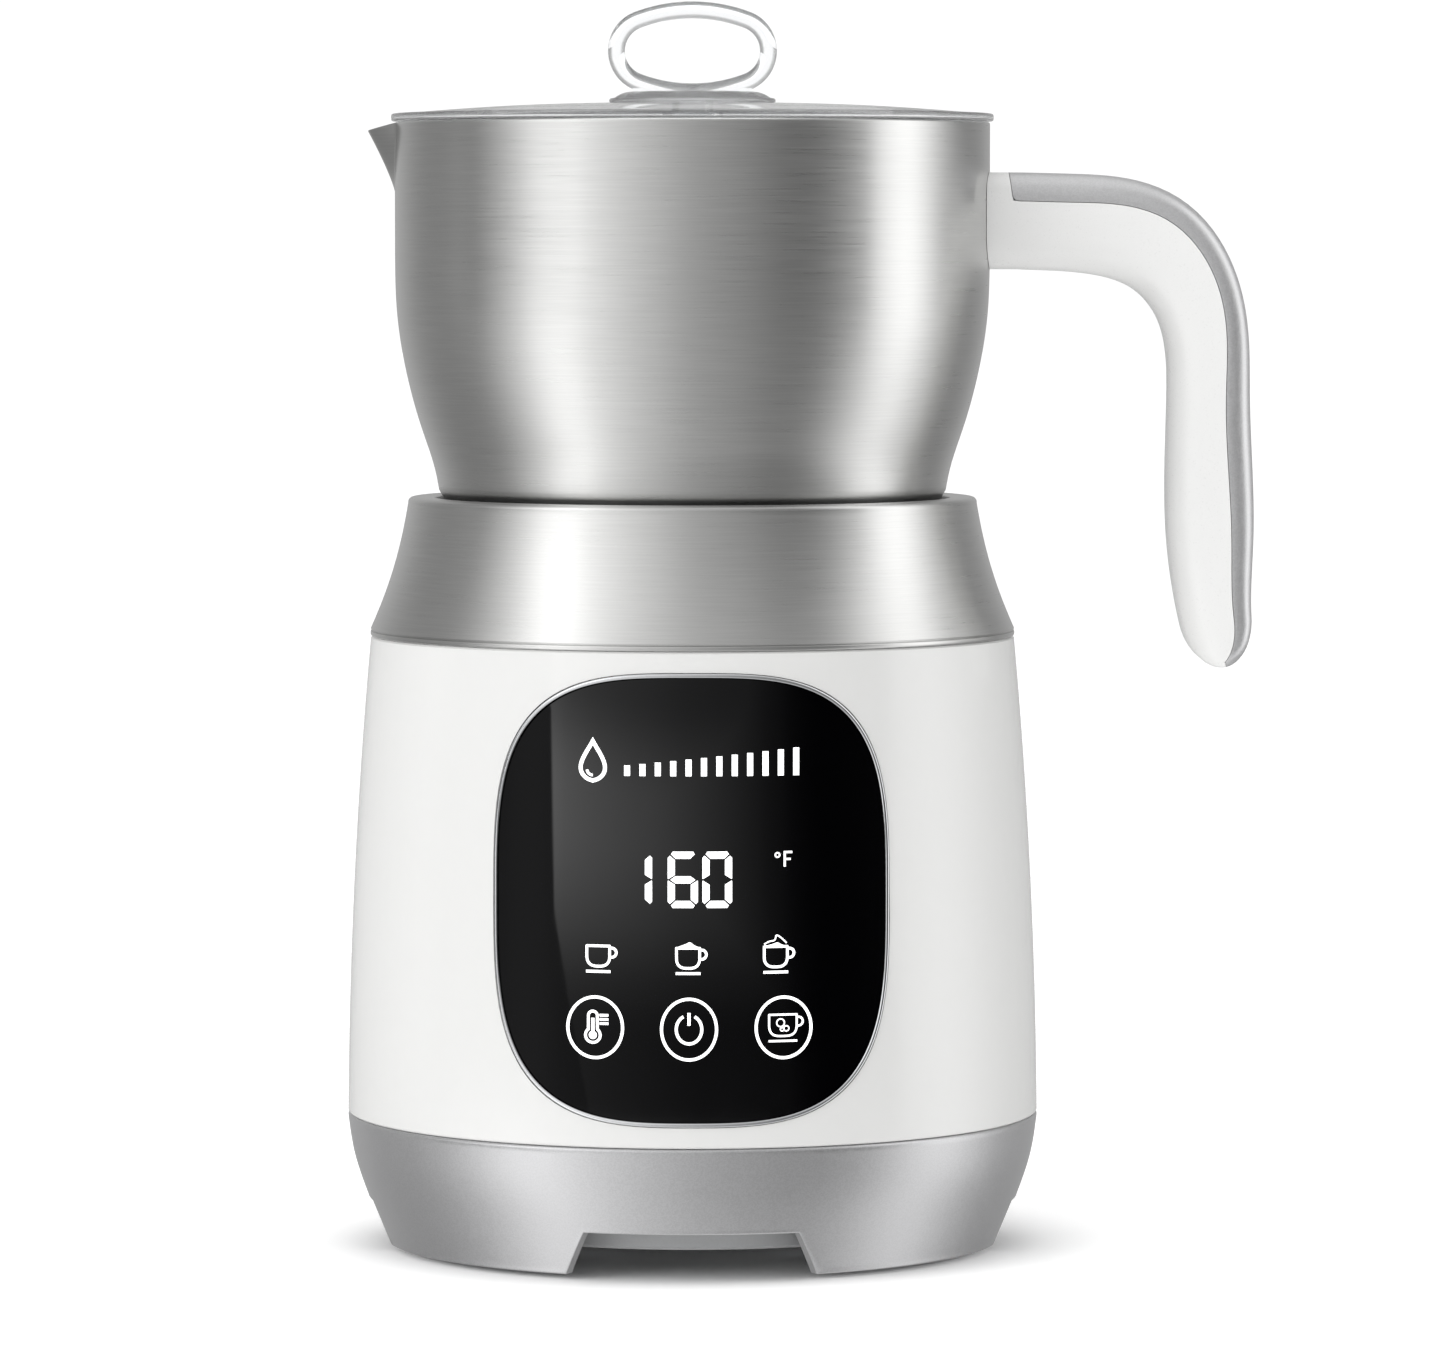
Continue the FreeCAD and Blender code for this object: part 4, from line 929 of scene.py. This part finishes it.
def handle():
    """The handle's two mouldings, each a section carried along one line.

    The section is a bar with rounded corners, cut by a straight seam: the grip is what lies
    inside it and the silver back what lies outside. At the jug the grip keeps the whole
    section and its end follows the jug's wall.
    """
    rows, out, width, lift = handle_sections()
    depth, width, lift = rows[:, 2:3], width[:, None], lift[:, None]
    below = np.minimum(rows[:, 3:4], depth * 1.1)
    radius = np.minimum(CORNER, np.minimum(0.86 * below, depth))
    under_radius = np.minimum(UNDER_CORNER, np.minimum(depth, 0.9 * width))
    seam = depth - below
    top_y, top_n = half_outline(width, depth, radius, seam)
    low_y, low_n = half_outline(width, depth, under_radius, -seam)
    y = np.concatenate([low_y, -top_y], axis=1)
    n = np.concatenate([-low_n, np.minimum(top_n, seam + lift)], axis=1)
    x = rows[:, :1] + out[:, :1] * n
    z = rows[:, 1:2] + out[:, 1:] * n
    x[:STEP_ROWS] -= ROOT_LEAN * np.clip(n[:STEP_ROWS] - seam[:STEP_ROWS], 0, None)
    root = np.linspace(0, 1, ROOT_ROWS)[:, None]
    wall = np.sqrt((JUG_RADIUS + 0.06) ** 2 - y[:ROOT_ROWS] ** 2)
    x[:ROOT_ROWS] = wall + (x[ROOT_ROWS - 1:ROOT_ROWS] - wall) * root
    piece("handle_grip_moulding", [(capped(points(x, y, z)), False, True)], satin_white_abs(), "jug",
          ["handle_grip"], crease=40)

    back = slice(ROOT_ROWS, None)
    base = seam + np.minimum(SEAM_GAP, 0.4 * below)
    top_y, top_n = half_outline(width, depth, radius, base)
    floor_n = np.minimum(top_n, base + np.minimum(lift, 1.0))
    y = np.concatenate([top_y, top_y[:, ::-1]], axis=1)[back]
    n = np.concatenate([top_n, floor_n[:, ::-1]], axis=1)[back]
    x = rows[back, :1] + out[back, :1] * n
    z = rows[back, 1:2] + out[back, 1:] * n
    steps = STEP_ROWS - ROOT_ROWS
    x[:steps] += SEAM_GAP - ROOT_LEAN * np.clip(n[:steps] - seam[back][:steps], 0, None)
    piece("handle_back_strip", [(capped(points(x, y, z)), False, True)], spine_lacquer(), "jug",
          ["handle_spine"], crease=40)


# ---------------------------------------------------------------- whisk and lid

WHISK_RADIUS = 20.5            # of the ring that the spring is wound round
WHISK_HEIGHT = 153.4
WINDING = 2.55                 # radius of the winding
WHISK_WIRE = 0.42              # radius of its wire
WIRE_STEPS = 14                # points on each turn


def whisk_spring():
    """The closed spring: a wire wound round a ring. Its height and its distance from the axis
    turn once for every turn of the winding."""
    turns = sizes().whisk_turns
    a = full_turn(turns * WIRE_STEPS)
    wind = a * turns
    centre = round_z(WHISK_RADIUS, WHISK_HEIGHT, a)
    path = round_z(WHISK_RADIUS + WINDING * np.cos(wind), WHISK_HEIGHT + WINDING * np.sin(wind), a)
    wire = wound_wire(path, unit(path - centre), WHISK_WIRE, 6, True)
    piece("whisk_spring", [(wire, True, True)], inside_finish("screw_steel"), "whisk",
          ["whisk_coil"], crease=60)


SPRING_TURNS = 6.5
SPRING_WIRE = 0.2              # radius of its wire
SPRING_GAP = 0.02              # left free at both ends


def sensor_spring():
    """The spring under the temperature sensor: a wire wound round an upright axis, closer at
    both ends."""
    low, high = node_box("sensor_spring")
    radius = float(high[0] - low[0]) / 2 - SPRING_WIRE
    share = np.linspace(0, 1, 221)
    climb = share - 0.11 * np.sin(2 * math.pi * share)
    clear = SPRING_WIRE + SPRING_GAP
    side = round_z(1.0, 0.0, 2 * math.pi * SPRING_TURNS * share)
    path = (low + high) / 2 + radius * side
    path[:, 2] = low[2] + clear + (high[2] - low[2] - 2 * clear) * climb
    coil = wound_wire(path, side, SPRING_WIRE, 8, False)
    made = piece("sensor_return_spring", [(capped(coil), False, True)], inside_finish("screw_steel"),
                 None, ["sensor_spring"], crease=60)
    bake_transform(made)


def lid_plate():
    """The clear lid: a plate that is level at its middle and domed towards its eased edge, with a
    plug ring below, carried once round Z."""
    outline = np.concatenate([
        curve([(17.5, 228.22), (38.0, 227.55), (57.0, 226.2)], 24),
        rounded([(57.5, 226.15), (60.06, 226.1), (60.06, 224.6), (56.4, 224.6)],
                [0, 0.5, 0.5, 0], 5)[5:-5],
        rounded([(56.4, 224.6), (56.4, 219.8), (54.8, 219.8), (54.8, 224.4)], [0.3, 0.4, 0.4, 0.6], 5),
        curve([(54.0, 224.45), (38.0, 225.9), (17.5, 226.6)], 24),
        [(4.1, 226.6), (4.1, 228.22)]])
    plate = piece("lid_plate", [(turned(outline, 224), True, True)], clear_lid_acrylic(), "lid",
                  ["lid_disc"], crease=40)
    let_light_through(plate)
    let_light_through(frame["nodes"]["lid_knob"])


def lid_seal():
    """The lid's silicone ring: a flat back and two soft lips, carried once round Z."""
    turn = np.linspace(-1.25, 1.25, 9)
    lips = [points(57.45 + 0.65 * np.cos(turn), z + 0.75 * np.sin(turn)) for z in (221.1, 222.7)]
    outline = np.concatenate([[(56.45, 220.4)], *lips, [(56.45, 223.4)]])
    piece("lid_seal", [(turned(outline, 160), True, True)], inside_finish("silicone"), "lid",
          ["lid_gasket"], crease=60)


# ---------------------------------------------------------------- studio

PAPER_LIFT = 0.36              # the floor's own light, which keeps it white behind the object
PAINTED_SHADOW_REACH = (50.0, 88.0)       # where that light starts and is full, in mm from the middle; nearer in it fades out, a painted shadow on the floor under and round the base
FLOOR_REACH = 12000.0          # so far that the floor's edge never shows
SOFT = {"interpolation_type": "SMOOTHSTEP"}


def studio_floor():
    """A level floor: one square whose corners are at plus and minus its reach."""
    faces, _ = grid_faces(2, 2, False, False)
    corners = np.array([(-1, -1, 0), (1, -1, 0), (-1, 1, 0), (1, 1, 0)]) * FLOOR_REACH * MM
    mesh = bpy.data.meshes.new("studio_floor")
    mesh.from_pydata(corners, [], faces.tolist())
    floor = bpy.data.objects.new("studio_floor", mesh)
    bpy.context.scene.collection.objects.link(floor)
    # Seamless studio paper: matt white with a faint fibre.
    paper = finish("seamless_white_paper", 0xF7F7F7, 0.9, grain=2.0, spread=0.004, rough_spread=0.02,
                   cloud=300, cloud_spread=0.003, emission_color=WHITE)
    tree = paper.node_tree
    place = add(tree, "TexCoord").outputs["Object"]
    away = add(tree, "VectorMath", (place,), operation="LENGTH").outputs["Value"]
    start, full = (reach * MM for reach in PAINTED_SHADOW_REACH)
    # The floor's glow fades to nothing towards the base: a painted shadow on the floor under and round
    # the base, which also darkens what shows through the notches.
    lift = add(tree, "MapRange", (away, start, full, 0.0, PAPER_LIFT), **SOFT)
    connect(tree, principled(tree), {"Emission Strength": lift})
    mesh.materials.append(paper)
    floor.visible_glossy = False


# The studio is a ring of soft boxes: degrees round the axis (0 is the camera's side, positive to
# the right) and the brightness there. A broad box stands to the left and a narrower one to the
# right, with a dimmer room between and behind them.
RING_OF_LIGHT = ((-180, 0.50), (-150, 0.50), (-130, 0.34), (-112, 0.34), (-98, 0.42), (-85, 0.88),
                 (-72, 1.50), (-63, 2.30), (-52, 2.40), (-44, 1.70), (-28, 1.22), (-14, 0.95),
                 (-2, 0.66), (10, 0.56), (25, 0.44), (36, 0.34), (47, 0.32), (57, 0.42), (68, 0.85),
                 (80, 1.55), (91, 2.00), (99, 1.75), (112, 0.80), (126, 0.34), (140, 0.34),
                 (160, 0.45), (180, 0.50))
RING_SCALE = 2.5               # brightness of a full stop of the ramp
BELOW = 0.76                   # share of the ring's light that comes from well below level
BELOW_FROM = (-0.45, -0.10)    # sines of the elevations where that share ends and all is reached
CEILING = 0.85                 # brightness straight above
CEILING_FROM = (0.70, 0.95)    # sines of the elevations where it starts and is full
BACKDROP = 1.05                # brightness of the plain white that the camera sees
AHEAD = (0.86, 0.97)           # how squarely a ray has to look through the lid to see it too

# Black cards at eye level in front of the boxes, which only the upright glass reflects. Each is a
# product of soft steps, and takes away that share of the light. A step is the direction that it
# runs along, where it starts and ends in degrees, and its value at both.
LEFT_END = ("azimuth", -105, -90, 0, 1)
RIGHT_END = ("azimuth", 50, 60, 1, 0)
EYE_LEVEL = (("rise", -6.15, -5.0, 0, 1), ("rise", 7.0, 8.16, 1, 0))
BLACK_CARDS = (
    (("edge", -47.3, -46.0, 0.88, 0), LEFT_END),                            # sharp, on the left
    (("azimuth", -12, 46, 0, 0.97), ("azimuth", 68, 78, 1, 0)),             # fading in, on the right
    (("rise", -3.0, 2.4, 0.82, 0), LEFT_END, RIGHT_END),                    # below the brightest level
    (("rise", 3.2, 6.2, 0, 0.55), LEFT_END, RIGHT_END))                     # and above it
EDGE_LEAN = 0.65               # degrees that the left card's edge leans left for each that it rises
EDGE_LEAN_BELOW = 2.0          # and further below eye level


def black_cards(tree, azimuth, rise):
    """What the black cards leave of the light: one less the most that any of them takes."""
    edge = add(tree, "Math", (rise, EDGE_LEAN, azimuth), operation="MULTIPLY_ADD")
    under = add(tree, "Math", (rise, 0.0), operation="MINIMUM")
    edge = add(tree, "Math", (under, EDGE_LEAN_BELOW, edge), operation="MULTIPLY_ADD")
    runs = {"azimuth": (azimuth, math.radians), "edge": (edge, math.radians),
            "rise": (rise, lambda degrees: math.sin(math.radians(degrees)))}
    most = 0.0
    for card in BLACK_CARDS:
        taken = 1.0
        for run, start, end, first, last in card + EYE_LEVEL:
            value, unit_of = runs[run]
            step = add(tree, "MapRange", (value, unit_of(start), unit_of(end), first, last), **SOFT)
            taken = add(tree, "Math", (taken, step), operation="MULTIPLY")
        most = add(tree, "Math", (most, taken), operation="MAXIMUM")
    return add(tree, "Math", (1.0, most), operation="SUBTRACT")


def studio_world():
    """A ring of soft boxes under a pale ceiling: what a ray meets depends only on its direction.

    The brightness is read from the ring at the ray's angle round Z, less what the cards take, and
    fades into the ceiling's from about 45 degrees up or down. The camera, and what it sees
    straight ahead through the clear lid, meets plain white.
    """
    world = bpy.data.worlds.new("studio")
    bpy.context.scene.world = world
    world.use_nodes = True
    tree = world.node_tree
    tree.nodes.clear()
    way = add(tree, "SeparateXYZ", (add(tree, "TexCoord").outputs["Generated"],)).outputs
    back = add(tree, "Math", (way[1], -1.0), operation="MULTIPLY")
    azimuth = add(tree, "Math", (way[0], back), operation="ARCTAN2")
    ring = add(tree, "ValToRGB", (add(tree, "MapRange", (azimuth, -math.pi, math.pi)),))
    ramp = ring.color_ramp
    ramp.interpolation = "B_SPLINE"
    for i, (degrees, level) in enumerate(RING_OF_LIGHT):
        position = (degrees + 180) / 360
        stop = ramp.elements[i] if i < 2 else ramp.elements.new(position)
        stop.position = position
        stop.color = (level / RING_SCALE,) * 3 + (1.0,)
    light = add(tree, "Math", (ring, RING_SCALE), operation="MULTIPLY")
    below = add(tree, "MapRange", (way[2], *BELOW_FROM, BELOW, 1.0), **SOFT)
    for share in (black_cards(tree, azimuth, way[2]), below):
        light = add(tree, "Math", (light, share), operation="MULTIPLY")
    steep = add(tree, "Math", (way[2],), operation="ABSOLUTE")
    above = add(tree, "MapRange", (steep, *CEILING_FROM), **SOFT)
    light = add(tree, "Mix", {0: above, 2: light, 3: CEILING})
    room = add(tree, "Background", {"Strength": light, "Color": WHITE})
    plain = add(tree, "Background", {"Strength": BACKDROP, "Color": WHITE})
    path = add(tree, "LightPath").outputs
    ahead = add(tree, "MapRange", (way[1], *AHEAD), **SOFT)
    through = add(tree, "Math", (path["Is Transmission Ray"], ahead), operation="MULTIPLY")
    seen = add(tree, "Math", (path["Is Camera Ray"], through), operation="MAXIMUM")
    add(tree, "OutputWorld", {"Surface": add(tree, "MixShader", (seen, room, plain))})


# Lamps: name, place in metres, what it looks at, width, height in metres, and power in watts.
LAMPS = (("overhead", (-0.1, -0.2, 1.5), (0, 0, 0.08), 1.0, 1.0, 4.8),
         ("front_left", (-1.3, -1.0, 0.7), (0, 0, 0.12), 0.9, 0.9, 4.0))


def studio_lamps():
    for name, place, aim, width, height, power in LAMPS:
        lamp = bpy.data.lights.new(name, "AREA")
        lamp.shape = "RECTANGLE"
        lamp.size, lamp.size_y = width, height
        lamp.energy = power
        made = bpy.data.objects.new(name, lamp)
        made.location = place
        x, y, z = np.array(aim) - np.array(place)
        made.rotation_euler = Euler((math.atan2(math.hypot(x, y), -z), 0, math.atan2(-x, y)))
        made.visible_glossy = False
        bpy.context.scene.collection.objects.link(made)


CAMERA_PLACE = (0.006, -1.5, 0.2008)
CAMERA_PITCH = 3.304           # degrees below level
CAMERA_LENS = 186.85


def studio_camera():
    camera = bpy.data.cameras.new("camera")
    camera.lens = CAMERA_LENS
    camera.sensor_width = 36.0
    camera.clip_end = 50.0
    made = bpy.data.objects.new("camera", camera)
    made.location = CAMERA_PLACE
    made.rotation_euler = (math.radians(90 - CAMERA_PITCH), 0, 0)
    bpy.context.scene.collection.objects.link(made)
    bpy.context.scene.camera = made


# ---------------------------------------------------------------- operators

class FROTHER_OT_stage(bpy.types.Operator):
    """Makes the floor, the room light, the lamps and the camera"""
    bl_idname = "frother.stage"
    bl_label = "Studio"

    def execute(self, context):
        context.scene.view_settings.view_transform = "Standard"
        studio_floor()
        studio_world()
        studio_lamps()
        studio_camera()
        return {"FINISHED"}


class FROTHER_OT_packed_parts(bpy.types.Operator):
    """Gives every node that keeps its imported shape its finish"""
    bl_idname = "frother.packed_parts"
    bl_label = "Packed parts"

    def execute(self, context):
        outside = {"white_abs": satin_white_abs, "silver_plastic": silver_lacquer,
                   "bright_trim": bright_trim, "black_glass": black_panel_glass,
                   "clear_plastic": clear_acrylic}
        for row in frame["record"]["subparts"]:
            node, slot = row["node"], row["material_slot"]
            if node == "base_shell":
                coat(node, gloss_white_abs())
            else:
                coat(node, outside[slot]() if slot in outside else inside_finish(slot))
        return {"FINISHED"}


class FROTHER_OT_base(bpy.types.Operator):
    """Makes the silver lower ring, the brushed collar and the sensor's spring"""
    bl_idname = "frother.base"
    bl_label = "Base"

    def execute(self, context):
        lower_ring()
        steel_collar()
        sensor_spring()
        return {"FINISHED"}


class FROTHER_OT_panel_print(bpy.types.Operator):
    """Makes the panel's bright ring, lit numerals and icons"""
    bl_idname = "frother.panel_print"
    bl_label = "Panel print"

    def execute(self, context):
        panel_ring()
        panel_print()
        return {"FINISHED"}


class FROTHER_OT_jug(bpy.types.Operator):
    """Makes the steel jug with its pressed spout"""
    bl_idname = "frother.jug"
    bl_label = "Jug"

    def execute(self, context):
        steel_jug()
        return {"FINISHED"}


class FROTHER_OT_handle(bpy.types.Operator):
    """Makes the grip and the silver back of the handle"""
    bl_idname = "frother.handle"
    bl_label = "Handle"

    def execute(self, context):
        handle()
        return {"FINISHED"}


class FROTHER_OT_whisk(bpy.types.Operator):
    """Makes the whisk's closed spring"""
    bl_idname = "frother.whisk"
    bl_label = "Whisk"

    def execute(self, context):
        whisk_spring()
        return {"FINISHED"}


class FROTHER_OT_lid(bpy.types.Operator):
    """Makes the clear lid and its seal"""
    bl_idname = "frother.lid"
    bl_label = "Lid"

    def execute(self, context):
        lid_plate()
        lid_seal()
        return {"FINISHED"}


STEPS = (FROTHER_OT_stage, FROTHER_OT_packed_parts, FROTHER_OT_base, FROTHER_OT_panel_print,
         FROTHER_OT_jug, FROTHER_OT_handle, FROTHER_OT_whisk, FROTHER_OT_lid)


class FROTHER_PT_sidebar(bpy.types.Panel):
    """Lists the frother's sizes, colours and pieces"""
    bl_idname = "FROTHER_PT_sidebar"
    bl_label = "Milk Frother"
    bl_space_type = "VIEW_3D"
    bl_region_type = "UI"
    bl_category = "Frother"

    def draw(self, context):
        for settings in (context.scene.frother_sizes, context.scene.frother_colours):
            box = self.layout.box()
            for name in settings.bl_rna.properties.keys():
                if name not in ("rna_type", "name"):
                    box.prop(settings, name)
        for step in STEPS:
            self.layout.operator(step.bl_idname)


CLASSES = (FrotherSizes, FrotherColours) + STEPS + (FROTHER_PT_sidebar,)


def register():
    for cls in CLASSES:
        bpy.utils.register_class(cls)
    bpy.types.Scene.frother_sizes = bpy.props.PointerProperty(type=FrotherSizes)
    bpy.types.Scene.frother_colours = bpy.props.PointerProperty(type=FrotherColours)


def unregister():
    del bpy.types.Scene.frother_colours
    del bpy.types.Scene.frother_sizes
    for cls in reversed(CLASSES):
        bpy.utils.unregister_class(cls)


def main():
    register()
    bpy.ops.frother.stage()
    bpy.ops.frother.packed_parts()
    bpy.ops.frother.base()
    bpy.ops.frother.panel_print()
    bpy.ops.frother.jug()
    bpy.ops.frother.handle()
    bpy.ops.frother.whisk()
    bpy.ops.frother.lid()


if __name__ == "__main__":
    main()
